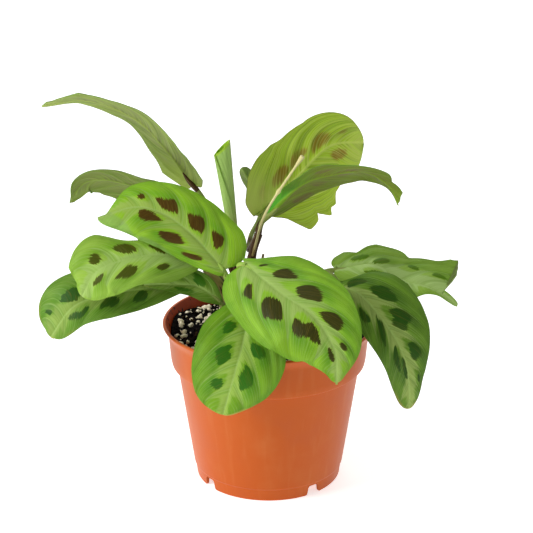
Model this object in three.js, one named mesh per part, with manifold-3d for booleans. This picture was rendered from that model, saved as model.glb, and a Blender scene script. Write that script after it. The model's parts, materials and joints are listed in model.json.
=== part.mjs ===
// A prayer plant (maranta) in a round plastic nursery pot.
// Millimetres, +Z up. All places below are measured from the pot's axis, with the pot's foot at z = 0.
// The front of the plant, where the large leaf shows its face, looks along -Y.
import * as THREE from "three";
import { mergeVertices } from "three/addons/utils/BufferGeometryUtils.js";
import Module from "manifold-3d";

const wasm = await Module();
wasm.setup();

// Pot: thin injection-moulded plastic with a flared lip, a collar and a foot with four notches
const POT = {
  height: 84,
  lipRadius: 54,
  lipHeight: 1.6,
  collarTopRadius: 51.2,
  collarTopZ: 79,
  collarFootRadius: 50,
  collarFootZ: 65,
  bodyTopRadius: 46.8,
  bodyTopZ: 61.2,
  bodyFootRadius: 38.6,
  bodyFootZ: 7,
  footRadius: 37.3,
  wall: 1.3,
  floorZ: 3.6,
  sides: 56,
};
const NOTCH = { width: 8, height: 5.4, depth: 9, angles: [-52.5, 37.5, 127.5, 217.5] };
const DRAIN = { radius: 3.5, circle: 21, count: 6 };

// Soil: a peat mix with perlite, a finger's breadth below the lip
const SOIL = { topZ: 75.5, clearance: 0.3, lump: 0.7, rings: 7, sides: 36 };
const PERLITE = {
  count: 30,
  smallest: 1.1,
  largest: 2.1,
  form: [1.2, 1, 0.8],
  proud: 0.15,
  seed: 11,
  clearOfStems: 5.5,
};
const HOLE_DEPTH = 12;
const HOLE_SIDES = 12;
const GAP = 0.3;

// Foliage
const BLADE_THICKNESS = 0.8;
const KEEL_DEPTH = 0.9;
const BLADE_ROWS = 14;
const HALF_COLUMNS = [0, 0.1, 0.4, 0.74, 1];
const NARROWEST_HALF = 0.5;
const LOBE_ANGLE = 0.35;
const WAVE_LAG = 1.3;
const PETIOLE_RADIUS = 1.25;
const PULVINUS_LENGTH = 7;
const PULVINUS_RADIUS = 1.45;
const PULVINUS_SINK = 0.7;
const TUBE_SIDES = 7;
const TUBE_STEP = 5;
const BLADE_HOLD = 6;

// Shoots: foot is where the shoot leaves the soil, trunk is the bundled lower stem
const SHOOTS = {
  shoot_upright: {
    foot: [-9, 5],
    radius: 2.1,
    trunk: [
      [-11, 6, 98],
      [-8, 6, 118],
      [-5, 6, 128],
    ],
  },
  shoot_back: { foot: [-17, 14], radius: 2, trunk: [[-17, 14, 100]] },
  shoot_left: { foot: [-20, -8], radius: 2.1, trunk: [[-20, -11, 94]] },
  shoot_front: { foot: [-6, -13], radius: 2, trunk: [[-7, -15, 94]] },
  shoot_right: { foot: [7, 2], radius: 2, trunk: [[10, 2, 92]] },
};

// Leaves: petiole lists the way from the trunk to the blade, rib the midrib from base to tip, and face the
// direction that the upper side looks in, at even steps along the rib. left and right are the half widths
// at 30, 60, 90, 120 and 150 degrees of the half turn that runs from base to tip. Folds lift a half about
// the rib and curls bend it further towards its margin, both in degrees. wave is height, number and phase.
const LEAVES = {
  leaf_front: {
    shoot: "shoot_front",
    petiole: [[-10, -18, 106], [-14, -24, 120], [-14, -28, 124]],
    rib: [[-11, -30, 125], [5, -44, 116.5], [21, -56, 109], [31, -65, 95.5], [32.5, -68, 80.5]],
    face: [[-0.1, -0.75, 0.65], [0, -0.75, 0.65], [0.1, -0.9, 0.4]],
    left: [5, 20.5, 23, 17, 5],
    right: [17.5, 24, 26.5, 20.5, 5.5],
    foldLeft: [8],
    foldRight: [6],
    curlLeft: [-22],
    curlRight: [-18],
    lobe: 5,
    wave: [0.8, 2, 0],
  },
  leaf_over_rim: {
    shoot: "shoot_front",
    petiole: [[-8, -22, 103], [-8, -30, 110]],
    rib: [[-8.5, -34, 108.5], [-11.5, -49, 96], [-16, -59, 81], [-22, -61, 59.5]],
    face: [[0, -0.6, 0.8], [0, -0.9, 0.4], [-0.1, -1, 0.1]],
    left: [8, 17, 22.5, 18.5, 8],
    right: [9, 19.5, 22, 20, 13],
    foldLeft: [8],
    foldRight: [8],
    curlLeft: [-20],
    curlRight: [-20],
    lobe: 3,
    wave: [0.6, 2, 1],
  },
  leaf_left_upper: {
    shoot: "shoot_left",
    petiole: [[-20, -17, 103], [-20, -23, 113]],
    rib: [[-23.5, -26, 120], [-34.5, -25, 136], [-48, -24, 147.5], [-63.5, -24, 152.5], [-82.5, -26, 147.5]],
    face: [[0, -0.8, 0.6], [0, -0.8, 0.6], [-0.3, -0.8, 0.5]],
    left: [2, 13, 15.5, 15, 6],
    right: [17.5, 19.5, 17, 11.5, 1],
    foldLeft: [4],
    foldRight: [8],
    curlLeft: [-22],
    curlRight: [-20],
    lobe: 3,
    wave: [0.8, 2, 0],
  },
  leaf_left_middle: {
    shoot: "shoot_left",
    petiole: [[-22, -14, 104], [-28, -16, 115]],
    rib: [[-36, -20, 122.5], [-53, -27, 129], [-71, -31, 127.5], [-83.5, -34, 122.5], [-90.5, -36, 111]],
    face: [[0, -0.7, 0.7], [0, -0.7, 0.7], [-0.2, -0.8, 0.5]],
    left: [5.5, 13.5, 15, 16, 10],
    right: [3, 6.5, 9.5, 17, 6],
    foldLeft: [6],
    foldRight: [10],
    curlLeft: [-15],
    curlRight: [-15],
    lobe: 3,
    wave: [0.8, 2, 2],
  },
  leaf_left_lower: {
    shoot: "shoot_left",
    petiole: [[-25, -12, 99], [-33, -14, 105]],
    rib: [[-39.5, -16, 107.5], [-58, -20, 109], [-77.5, -26, 108], [-95, -32, 104], [-105, -34, 88.5]],
    face: [[0, -0.7, 0.7], [0, -0.7, 0.7], [-0.3, -0.8, 0.5]],
    left: [2.5, 9, 12.5, 11, 7],
    right: [4.5, 7, 13, 18.5, 13],
    foldLeft: [8],
    foldRight: [8],
    curlLeft: [-18],
    curlRight: [-18],
    lobe: 3,
    wave: [0.8, 2, 1],
  },
  leaf_left_small: {
    shoot: "shoot_left",
    petiole: [[-20, -17, 94], [-21, -22, 98]],
    rib: [[-24, -25, 104], [-34, -25, 111.5], [-47, -23, 112], [-61.5, -21, 111]],
    face: [[0, -0.8, 0.5], [0, -0.8, 0.5], [0, -0.8, 0.5]],
    left: [2.5, 6, 5, 3, 1.5],
    right: [2.5, 6, 8, 6, 3],
    foldLeft: [10],
    foldRight: [20],
    curlLeft: [-10],
    curlRight: [-10],
    lobe: 2,
    wave: [0.3, 2, 0],
  },
  leaf_back_long: {
    shoot: "shoot_back",
    petiole: [[-19, 15, 112], [-26, 17, 130], [-34, 19, 144]],
    rib: [[-40, 20, 152.5], [-50.5, 17, 168.5], [-65.5, 13, 186], [-89, 8, 197], [-111, 4, 195]],
    face: [[0.52, 0.7, 0.49], [0.59, 0.55, 0.59], [0.28, 0.41, 0.87], [-0.23, 0.29, 0.93]],
    left: [10, 16, 18, 17, 9.5],
    right: [10, 15, 14, 17, 7],
    foldLeft: [-5, 0, 5, 8],
    foldRight: [-5, 0, 2, 2],
    curlLeft: [-6],
    curlRight: [-6],
    lobe: 7,
    wave: [0.5, 2.5, 0],
  },
  leaf_back_arched: {
    shoot: "shoot_back",
    petiole: [[-22, 14, 114], [-32, 14, 131], [-42, 14, 142]],
    rib: [[-48.5, 14, 146], [-66, 11, 152], [-82.5, 8, 156.5], [-92.5, 5, 155], [-99, 4, 146.5]],
    face: [[0.1, 0.75, 0.66], [0.11, 0.7, 0.71], [-0.11, 0.62, 0.78], [-0.87, 0.28, 0.4]],
    left: [9, 14.5, 12.5, 13.5, 4],
    right: [9, 16.5, 15, 12, 8],
    foldLeft: [-7, -3, 4, 0],
    foldRight: [-7, -8, -3, -9],
    curlLeft: [-8],
    curlRight: [-8],
    lobe: 3,
    wave: [0.5, 2.5, 0],
  },
  leaf_right_tall: {
    shoot: "shoot_upright",
    petiole: [[-5, 11, 131]],
    rib: [[0, 20, 138], [15, 28, 152], [31.5, 33, 166.5], [48, 36, 168]],
    face: [[0.2, 0.9, 0.3], [0.2, 0.9, 0.3], [0.2, 0.9, 0.3]],
    left: [6.5, 23.5, 21, 19, 21],
    right: [14, 23.5, 20.5, 19.5, 9],
    foldLeft: [5],
    foldRight: [5],
    curlLeft: [-15],
    curlRight: [-15],
    lobe: 12,
    wave: [0.8, 2, 1],
  },
  leaf_right_arched: {
    shoot: "shoot_upright",
    petiole: [[-3, 5, 135]],
    rib: [[1, 4, 140], [16, 2, 155.5], [31, 0, 161.5], [50, -2, 162.5], [64.5, -3, 148.5]],
    face: [[-0.46, 0.62, 0.63], [-0.31, 0.59, 0.75], [0.14, 0.48, 0.87], [0.66, 0.41, 0.63]],
    left: [9, 16.5, 19, 13, 1],
    right: [3, 6.5, 17.5, 12.5, 7.5],
    foldLeft: [-2, 0, 0, 5],
    foldRight: [105, 5, 2, 20],
    curlLeft: [-8],
    curlRight: [-8],
    lobe: 3,
    wave: [0.5, 2.5, 0],
  },
  leaf_back_young: {
    shoot: "shoot_upright",
    petiole: [[-10, 16, 116], [-9, 30, 119], [-5, 40, 124]],
    rib: [[-3, 44, 131], [-9, 49, 140], [-14, 52, 149]],
    face: [[0, 0.9, 0.3], [0, 0.9, 0.3]],
    left: [3, 4, 4, 4, 3],
    right: [3, 4, 4, 4, 3],
    foldLeft: [30],
    foldRight: [30],
    curlLeft: [-12],
    curlRight: [-12],
    lobe: 1,
    wave: [0, 2, 0],
  },
  leaf_right_drooping: {
    shoot: "shoot_right",
    petiole: [[14, 0, 102], [23, -6, 112], [31, -12, 113]],
    rib: [
      [35, -14, 108],
      [45.5, -25, 107],
      [58.5, -33, 93.5],
      [66.5, -36, 79],
      [69.5, -36, 63.5],
      [70, -34, 50],
    ],
    face: [[-0.1, -0.6, 0.8], [0.2, -0.9, 0.4], [0.2, -1, 0.1]],
    left: [5.5, 20, 20, 9.5, 4.5],
    right: [4.5, 11.5, 12.5, 10, 6],
    foldLeft: [8],
    foldRight: [10],
    curlLeft: [-20],
    curlRight: [-15],
    lobe: 3,
    wave: [0.8, 2, 0],
  },
  leaf_right_outer: {
    shoot: "shoot_right",
    petiole: [[18, 4, 101], [27, 6, 107]],
    rib: [[34.5, 6, 109.5], [53.5, 8, 111], [68, 9, 102.5], [83, 8, 95.5], [95, 6, 91.5]],
    face: [[-0.11, 0.35, 0.93], [0.32, 0.31, 0.89], [0.49, 0.27, 0.83]],
    left: [9.5, 11, 16, 19, 21],
    right: [8.5, 14, 15, 5, 2],
    foldLeft: [45, 50, 52, 60],
    foldRight: [-40, -45, -40, -30],
    curlLeft: [-10, 0, 5],
    curlRight: [-15],
    lobe: 3,
    wave: [1, 2, 2.2],
  },
};

// The youngest leaf is still rolled: a spiral sheet with a slanting mouth
const ROLLED = {
  shoot: "shoot_back",
  petiole: [[-17, 13, 110], [-17, 11, 122]],
  rib: [[-18, 10, 130], [-21, 10, 155], [-23, 10, 174]],
  face: [[0, 1, 0], [0, 1, 0]],
  footRadius: 3,
  mouthRadius: 3.7,
  turns: 1.3,
  pitch: 1.35,
  sheet: 0.7,
  seam: -60,
  slant: 0.8,
  rows: 6,
  columns: 18,
};

// Dry flower stalk with its joint, standing in front of the tall right leaf
const STALK = {
  way: [[-7, 3, 121], [-3, -1, 138], [4, -3, 152], [16, -4, 169]],
  radius: 0.8,
  topRadius: 1.4,
  topLength: 6,
  spur: [[-8, 6, 112], [-8, 4.5, 117]],
};
const BUD = { way: [[-8, 6, 104], [-4, 5, 112], [-2.5, 5, 118]], radius: 0.8 };

const vector = (p) => new THREE.Vector3(...p);
const radians = THREE.MathUtils.degToRad;

// Repeatable random numbers between 0 and 1
function draws(seed) {
  let state = seed;
  return () => {
    state = (state * 1664525 + 1013904223) % 4294967296;
    return state / 4294967296;
  };
}

// Solids: a closed geometry with shared vertices becomes a solid, and a solid becomes a geometry again
function toSolid(geometry) {
  const plain = geometry.clone();
  plain.deleteAttribute("normal");
  plain.deleteAttribute("uv");
  const merged = mergeVertices(plain, 1e-4);
  return new wasm.Manifold(
    new wasm.Mesh({
      numProp: 3,
      vertProperties: new Float32Array(merged.attributes.position.array),
      triVerts: new Uint32Array(merged.index.array),
    }),
  );
}

function toGeometry(solid) {
  const mesh = solid.getMesh();
  const geometry = new THREE.BufferGeometry();
  geometry.setAttribute("position", new THREE.BufferAttribute(mesh.vertProperties, 3));
  geometry.setIndex(new THREE.BufferAttribute(mesh.triVerts, 1));
  return geometry;
}

function joined(geometries) {
  return toGeometry(geometries.map(toSolid).reduce((whole, piece) => whole.add(piece)));
}

function indexed(points, faces) {
  const geometry = new THREE.BufferGeometry();
  const positions = points.flatMap((p) => [p.x, p.y, p.z]);
  geometry.setAttribute("position", new THREE.Float32BufferAttribute(positions, 3));
  geometry.setIndex(faces);
  return geometry;
}

// A revolved profile whose ends lie on the axis, turned from three's Y axis to Z
function revolved(profile, sides) {
  const points = profile.map(([r, z]) => new THREE.Vector2(r, z));
  return new THREE.LatheGeometry(points, sides).rotateX(Math.PI / 2);
}

function spline(points) {
  return new THREE.CatmullRomCurve3(points.map(vector), false, "catmullrom", 0.5);
}

// The part of a curve between two lengths from its start
class Stretch extends THREE.Curve {
  constructor(whole, from, to) {
    super();
    this.whole = whole;
    this.from = from / whole.getLength();
    this.to = Math.min(1, to / whole.getLength());
  }

  getPoint(t, target) {
    return this.whole.getPointAt(THREE.MathUtils.lerp(this.from, this.to, t), target);
  }

  getTangent(t, target) {
    return this.whole.getTangentAt(THREE.MathUtils.lerp(this.from, this.to, t), target);
  }
}

// A closed tube along such a part
function tube(curve, from, to, radius) {
  const steps = Math.max(2, Math.round((to - from) / TUBE_STEP));
  const section = new THREE.Shape();
  for (let i = 0; i < TUBE_SIDES; i++) {
    const turn = (2 * Math.PI * i) / TUBE_SIDES;
    section[i ? "lineTo" : "moveTo"](radius * Math.cos(turn), radius * Math.sin(turn));
  }
  section.closePath();
  const extrudePath = new Stretch(curve, from, to);
  return new THREE.ExtrudeGeometry(section, { steps, extrudePath, bevelEnabled: false });
}

// A value given at even steps from 0 to 1, eased between them
function keyed(values, t) {
  if (values.length === 1) return values[0];
  const place = t * (values.length - 1);
  const low = Math.min(Math.floor(place), values.length - 2);
  const part = place - low;
  return THREE.MathUtils.lerp(values[low], values[low + 1], part * part * (3 - 2 * part));
}

// Half width by the angle of the half turn from base to tip, through five given widths
function halfWidth(widths, theta) {
  const stations = [0, ...widths, 0].map((width, i) => [i, width, 0]);
  return Math.max(spline(stations).getPoint(theta / Math.PI).y, NARROWEST_HALF);
}

// The rib's point and its three directions at one row of the blade
function ribFrame(leaf, curve, theta) {
  const t = (1 - Math.cos(theta)) / 2;
  const tangent = curve.getTangentAt(t);
  const normal = new THREE.Vector3(...[0, 1, 2].map((k) => keyed(leaf.face.map((f) => f[k]), t)));
  normal.addScaledVector(tangent, -normal.dot(tangent)).normalize();
  const right = new THREE.Vector3().crossVectors(tangent, normal);
  return { t, theta, tangent, normal, right, point: curve.getPointAt(t) };
}

// A point of the blade's middle surface and its normal; side is -1 for left and 1 for right
function bladePoint(leaf, frame, side, s) {
  const { t, theta } = frame;
  const name = side < 0 ? "Left" : "Right";
  const half = halfWidth(side < 0 ? leaf.left : leaf.right, theta);
  const fold = radians(keyed(leaf["fold" + name], t));
  const curl = radians(keyed(leaf["curl" + name], t)) || 1e-3;
  const across = ((Math.sin(fold + curl * s) - Math.sin(fold)) / curl) * half;
  const lift = ((Math.cos(fold) - Math.cos(fold + curl * s)) / curl) * half;
  const sweep = leaf.lobe * s ** 1.5 * (theta / LOBE_ANGLE) * Math.exp(1 - theta / LOBE_ANGLE);
  const [height, count, phase] = leaf.wave;
  const turn = 2 * Math.PI * count * t + phase + (side > 0 ? WAVE_LAG : 0);
  const wave = height * s * s * Math.sin(turn) * Math.sin(theta);
  const point = frame.point
    .clone()
    .addScaledVector(frame.right, side * across)
    .addScaledVector(frame.normal, lift + wave)
    .addScaledVector(frame.tangent, -sweep);
  const tilt = fold + curl * s;
  const normal = frame.normal.clone().multiplyScalar(Math.cos(tilt));
  normal.addScaledVector(frame.right, -side * Math.sin(tilt));
  return { point, normal };
}

// A closed sheet between an upper and a lower grid, split into triangles alike on both faces
function closedSheet(upper, lower) {
  const rows = upper.length;
  const columns = upper[0].length;
  const at = (i, j, under) => (under ? rows * columns : 0) + i * columns + j;
  const faces = [];
  const quad = (a, b, c, d) => faces.push(a, b, c, a, c, d);
  for (let i = 0; i + 1 < rows; i++) {
    for (let j = 0; j + 1 < columns; j++) {
      quad(at(i, j), at(i, j + 1), at(i + 1, j + 1), at(i + 1, j));
      faces.push(at(i, j, 1), at(i + 1, j + 1, 1), at(i, j + 1, 1));
      faces.push(at(i, j, 1), at(i + 1, j, 1), at(i + 1, j + 1, 1));
    }
    quad(at(i, 0), at(i + 1, 0), at(i + 1, 0, 1), at(i, 0, 1));
    const last = columns - 1;
    quad(at(i + 1, last), at(i, last), at(i, last, 1), at(i + 1, last, 1));
  }
  for (let j = 0; j + 1 < columns; j++) {
    quad(at(0, j + 1), at(0, j), at(0, j, 1), at(0, j + 1, 1));
    const last = rows - 1;
    quad(at(last, j), at(last, j + 1), at(last, j + 1, 1), at(last, j, 1));
  }
  return indexed([...upper.flat(), ...lower.flat()], faces);
}

function bladeGeometry(leaf) {
  const curve = spline(leaf.rib);
  const leftColumns = HALF_COLUMNS.slice(1).reverse().map((s) => [-1, s]);
  const columns = [...leftColumns, ...HALF_COLUMNS.map((s) => [1, s])];
  const upper = [];
  const lower = [];
  for (let i = 0; i <= BLADE_ROWS; i++) {
    const frame = ribFrame(leaf, curve, (Math.PI * i) / BLADE_ROWS);
    const grid = columns.map(([side, s]) => ({ s, ...bladePoint(leaf, frame, side, s) }));
    const keel = KEEL_DEPTH * (1 - frame.t);
    const half = BLADE_THICKNESS / 2;
    upper.push(grid.map(({ point, normal }) => point.clone().addScaledVector(normal, half)));
    lower.push(
      grid.map(({ point, normal, s }) => point.clone().addScaledVector(normal, -half - (s ? 0 : keel))),
    );
  }
  return closedSheet(upper, lower);
}

// Petiole and pulvinus share one curve, which runs on under the blade's base
function stalkCurve(leaf) {
  const trunk = SHOOTS[leaf.shoot].trunk.at(-1);
  const rib = spline(leaf.rib);
  const under = [0, BLADE_HOLD].map((along) => {
    const normal = ribFrame(leaf, rib, 0).normal;
    return rib.getPointAt(along / rib.getLength()).addScaledVector(normal, -PULVINUS_SINK).toArray();
  });
  return spline([trunk, ...leaf.petiole, ...under]);
}

function pulvinus(leaf) {
  const curve = stalkCurve(leaf);
  const end = curve.getLength();
  return tube(curve, end - BLADE_HOLD - PULVINUS_LENGTH, end, PULVINUS_RADIUS);
}

function petiole(leaf) {
  const curve = stalkCurve(leaf);
  return tube(curve, 0, curve.getLength() - BLADE_HOLD - PULVINUS_LENGTH - GAP, PETIOLE_RADIUS);
}

function leafGeometry(leaf) {
  return joined([bladeGeometry(leaf), pulvinus(leaf)]);
}

// Spiral sheet round an axis, closed at both ends, with the mouth cut on a slant
function rolledGeometry() {
  const curve = spline(ROLLED.rib);
  const upper = [];
  const lower = [];
  for (let i = 0; i <= ROLLED.rows; i++) {
    const u = i / ROLLED.rows;
    const centre = curve.getPointAt(u);
    const tangent = curve.getTangentAt(u);
    const sideways = new THREE.Vector3(1, 0, 0).addScaledVector(tangent, -tangent.x).normalize();
    const forward = new THREE.Vector3().crossVectors(tangent, sideways);
    const outside = THREE.MathUtils.lerp(ROLLED.footRadius, ROLLED.mouthRadius, u);
    const ring = (offset) => {
      const points = [];
      for (let j = 0; j <= ROLLED.columns; j++) {
        const part = j / ROLLED.columns;
        const angle = radians(ROLLED.seam) + 2 * Math.PI * ROLLED.turns * part;
        const radius = outside - ROLLED.turns * ROLLED.pitch * (1 - part) + offset;
        const rise = ROLLED.slant * radius * Math.cos(angle) * u ** 4;
        points.push(
          centre
            .clone()
            .addScaledVector(sideways, radius * Math.cos(angle))
            .addScaledVector(forward, radius * Math.sin(angle))
            .addScaledVector(tangent, rise),
        );
      }
      return points;
    };
    upper.push(ring(ROLLED.sheet / 2));
    lower.push(ring(-ROLLED.sheet / 2));
  }
  return joined([closedSheet(upper, lower), pulvinus(ROLLED)]);
}

// Pot: inner wall radius by height, shared with the soil
const POT_OUTSIDE = [
  [POT.footRadius, 0],
  [POT.bodyFootRadius - 0.5, POT.bodyFootZ - 0.5],
  [POT.bodyFootRadius, POT.bodyFootZ],
  [POT.bodyTopRadius, POT.bodyTopZ],
  [POT.collarFootRadius - 0.6, POT.bodyTopZ + 0.6],
  [POT.collarFootRadius, POT.collarFootZ],
  [POT.collarTopRadius, POT.collarTopZ],
  [POT.lipRadius - 0.5, POT.height - POT.lipHeight],
  [POT.lipRadius, POT.height - POT.lipHeight / 2],
  [POT.lipRadius - 0.5, POT.height],
];
const POT_INSIDE = [
  [POT.lipRadius - POT.wall - 0.4, POT.height],
  [POT.collarTopRadius - POT.wall, POT.collarTopZ],
  [POT.collarFootRadius - POT.wall, POT.collarFootZ],
  [POT.bodyTopRadius - POT.wall, POT.bodyTopZ - 0.6],
  [POT.bodyFootRadius - POT.wall - 0.3, POT.floorZ + POT.wall],
];

function insideRadius(z) {
  const above = POT_INSIDE.findLastIndex(([, level]) => level >= z);
  const [r1, z1] = POT_INSIDE[above];
  const [r2, z2] = POT_INSIDE[Math.min(above + 1, POT_INSIDE.length - 1)];
  return z1 === z2 ? r1 : THREE.MathUtils.mapLinear(z, z2, z1, r2, r1);
}

function potGeometry() {
  const profile = [
    [0, POT.floorZ],
    [POT.footRadius - POT.wall, POT.floorZ],
    [POT.footRadius - POT.wall, 0],
    ...POT_OUTSIDE,
    ...POT_INSIDE,
    [0, POT.floorZ + POT.wall],
  ];
  let pot = toSolid(revolved(profile, POT.sides));
  for (const angle of NOTCH.angles) {
    const notch = new THREE.BoxGeometry(NOTCH.width, NOTCH.depth, 2 * NOTCH.height);
    notch.translate(0, -POT.footRadius, 0).rotateZ(radians(angle));
    pot = pot.subtract(toSolid(notch));
  }
  for (let i = 0; i < DRAIN.count; i++) {
    const hole = new THREE.CylinderGeometry(DRAIN.radius, DRAIN.radius, 4 * POT.wall, 16);
    hole.rotateX(Math.PI / 2).translate(DRAIN.circle, 0, POT.floorZ + POT.wall / 2);
    hole.rotateZ((2 * Math.PI * i) / DRAIN.count);
    pot = pot.subtract(toSolid(hole));
  }
  return toGeometry(pot);
}

// Crumbly surface height above the soil's level, fading to nothing at the wall
function crumb(x, y) {
  const edge = 1 - ((x * x + y * y) / insideRadius(SOIL.topZ) ** 2) ** 2;
  const slow = Math.sin(0.21 * x + 1) * Math.cos(0.19 * y + 0.4);
  const fast = Math.sin(0.62 * x + 0.35 * y) * Math.cos(0.71 * y - 0.2 * x);
  return SOIL.lump * edge * (slow + 0.7 * fast);
}

function perliteGrains() {
  const draw = draws(PERLITE.seed);
  const feet = Object.values(SHOOTS).map((shoot) => new THREE.Vector2(...shoot.foot));
  const grains = [];
  while (grains.length < PERLITE.count) {
    const reach = (insideRadius(SOIL.topZ) - 2 * PERLITE.largest) * Math.sqrt(draw());
    const angle = 2 * Math.PI * draw();
    const size = THREE.MathUtils.lerp(PERLITE.smallest, PERLITE.largest, draw());
    const turn = 2 * Math.PI * draw();
    const spot = new THREE.Vector2(reach * Math.cos(angle), reach * Math.sin(angle));
    if (feet.some((foot) => foot.distanceTo(spot) < PERLITE.clearOfStems)) continue;
    const grain = new THREE.IcosahedronGeometry(size, 0).scale(...PERLITE.form).rotateZ(turn);
    const rise = crumb(spot.x, spot.y) + PERLITE.proud * size;
    grain.translate(spot.x, spot.y, SOIL.topZ + rise);
    grains.push(grain);
  }
  return grains;
}

function soilGeometry() {
  const levels = [SOIL.topZ, 70, POT.collarFootZ, POT.bodyTopZ - 0.6, 30, POT.floorZ + POT.wall + GAP];
  const points = [];
  const faces = [];
  const n = SOIL.sides;
  const ring = (radius, height) => {
    for (let j = 0; j < n; j++) {
      const angle = (2 * Math.PI * j) / n;
      const x = radius * Math.cos(angle);
      const y = radius * Math.sin(angle);
      points.push(new THREE.Vector3(x, y, height(x, y)));
    }
  };
  points.push(new THREE.Vector3(0, 0, SOIL.topZ + crumb(0, 0)));
  const wallRadius = (z) => insideRadius(z) * Math.cos(Math.PI / POT.sides) - SOIL.clearance;
  for (let i = 1; i < SOIL.rings; i++) {
    ring((wallRadius(SOIL.topZ) * i) / SOIL.rings, (x, y) => SOIL.topZ + crumb(x, y));
  }
  for (const z of levels) ring(wallRadius(z), () => z);
  const floor = points.push(new THREE.Vector3(0, 0, levels.at(-1))) - 1;
  const ringCount = SOIL.rings - 1 + levels.length;
  for (let j = 0; j < n; j++) {
    const k = (j + 1) % n;
    faces.push(0, 1 + j, 1 + k);
    for (let i = 0; i + 1 < ringCount; i++) {
      const a = 1 + i * n;
      faces.push(a + j, a + n + j, a + n + k, a + j, a + n + k, a + k);
    }
    const last = 1 + (ringCount - 1) * n;
    faces.push(floor, last + k, last + j);
  }
  let soil = toSolid(indexed(points, faces));
  for (const grain of perliteGrains()) soil = soil.add(toSolid(grain));
  for (const shoot of Object.values(SHOOTS)) {
    const length = 2 * HOLE_DEPTH;
    const radius = (shoot.radius + GAP) / Math.cos(Math.PI / HOLE_SIDES);
    const hole = new THREE.CylinderGeometry(radius, radius, length, HOLE_SIDES).rotateX(Math.PI / 2);
    hole.translate(...shoot.foot, SOIL.topZ - HOLE_DEPTH - GAP + length / 2);
    soil = soil.subtract(toSolid(hole));
  }
  const bodies = soil.decompose().sort((a, b) => b.volume() - a.volume());
  return toGeometry(bodies[0]);
}

function shootGeometry(name) {
  const { foot, radius, trunk } = SHOOTS[name];
  const way = spline([
    [...foot, SOIL.topZ - HOLE_DEPTH],
    [...foot, SOIL.topZ - HOLE_DEPTH / 2],
    [...foot, SOIL.topZ + 3],
    ...trunk,
  ]);
  const pieces = [tube(way, 0, way.getLength(), radius)];
  for (const leaf of Object.values(LEAVES)) {
    if (leaf.shoot === name) pieces.push(petiole(leaf));
  }
  if (ROLLED.shoot === name) pieces.push(petiole(ROLLED));
  if (name === "shoot_upright") {
    const spur = spline([...STALK.spur, STALK.way[0]]);
    pieces.push(tube(spur, 0, spur.getLength() - GAP, STALK.radius));
    const bud = spline(BUD.way);
    pieces.push(tube(bud, 0, bud.getLength(), BUD.radius));
  }
  return joined(pieces);
}

function stalkGeometry() {
  const way = spline(STALK.way);
  const end = way.getLength();
  return joined([
    tube(way, 0, end, STALK.radius),
    tube(way, end - STALK.topLength, end, STALK.topRadius),
  ]);
}

const finish = (color, roughness) => new THREE.MeshStandardMaterial({ color, roughness, metalness: 0 });

// Each mesh keeps its shape round its own place, so that it can be moved as a whole
function placed(name, geometry, place, material) {
  const mesh = new THREE.Mesh(geometry.translate(-place[0], -place[1], -place[2]), material);
  mesh.name = name;
  mesh.position.set(...place);
  return mesh;
}

const onPotAxis = new THREE.Group();
onPotAxis.add(placed("pot", potGeometry(), [0, 0, 0], finish(0xd2784a, 0.45)));
onPotAxis.add(placed("soil", soilGeometry(), [0, 0, SOIL.topZ], finish(0x1d1712, 0.95)));
const foliage = new THREE.Group();
for (const [name, shoot] of Object.entries(SHOOTS)) {
  foliage.add(placed(name, shootGeometry(name), [...shoot.foot, SOIL.topZ], finish(0x6f5338, 0.6)));
}
for (const [name, leaf] of Object.entries(LEAVES)) {
  foliage.add(placed(name, leafGeometry(leaf), leaf.rib[0], finish(0x84b53c, 0.45)));
}
foliage.add(placed("leaf_rolled", rolledGeometry(), ROLLED.rib[0], finish(0x9cc25e, 0.45)));
foliage.add(placed("flower_stalk", stalkGeometry(), STALK.way[0], finish(0xe3d98c, 0.6)));
onPotAxis.add(foliage);

// The whole plant is set with the middle of its bounding box over the origin
const box = new THREE.Box3().setFromObject(onPotAxis, true);
onPotAxis.position.set(-(box.min.x + box.max.x) / 2, -(box.min.y + box.max.y) / 2, -box.min.z);

const pottedPrayerPlant = new THREE.Group();
pottedPrayerPlant.add(onPotAxis);

export default pottedPrayerPlant;
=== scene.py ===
"""A prayer plant in a nursery pot: the finished surfaces of its pot, soil, stems and leaves.

Lengths in the tables are millimetres, measured from the pot's axis with the pot's foot at height 0.
The large leaf that shows its face looks along -Y.
"""

import json
import math

import bmesh
import bpy
import numpy as np
from bpy.props import FloatProperty, FloatVectorProperty, IntProperty, PointerProperty
from mathutils import Matrix, Vector, noise


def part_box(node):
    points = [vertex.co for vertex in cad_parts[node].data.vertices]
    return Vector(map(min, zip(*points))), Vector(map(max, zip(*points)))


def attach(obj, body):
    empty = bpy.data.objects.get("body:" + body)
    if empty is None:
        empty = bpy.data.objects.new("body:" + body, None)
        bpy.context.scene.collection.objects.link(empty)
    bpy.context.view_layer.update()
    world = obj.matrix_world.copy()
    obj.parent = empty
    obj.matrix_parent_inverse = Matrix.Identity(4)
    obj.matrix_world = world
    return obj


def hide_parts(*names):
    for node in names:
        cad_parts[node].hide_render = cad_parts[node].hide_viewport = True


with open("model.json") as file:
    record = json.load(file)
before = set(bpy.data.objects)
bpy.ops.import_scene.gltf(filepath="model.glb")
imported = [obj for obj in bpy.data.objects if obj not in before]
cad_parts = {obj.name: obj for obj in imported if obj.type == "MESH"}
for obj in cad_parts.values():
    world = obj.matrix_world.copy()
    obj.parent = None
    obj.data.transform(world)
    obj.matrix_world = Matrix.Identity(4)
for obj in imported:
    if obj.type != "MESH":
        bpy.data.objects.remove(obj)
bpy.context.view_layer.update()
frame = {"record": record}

bl_info = {
    "name": "Potted prayer plant",
    "version": (1, 0, 0),
    "blender": (4, 5, 0),
    "location": "3D View > Sidebar > Plant",
    "description": "Builds a maranta with blotched leaves in a plastic nursery pot",
    "category": "Add Mesh",
}

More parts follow.
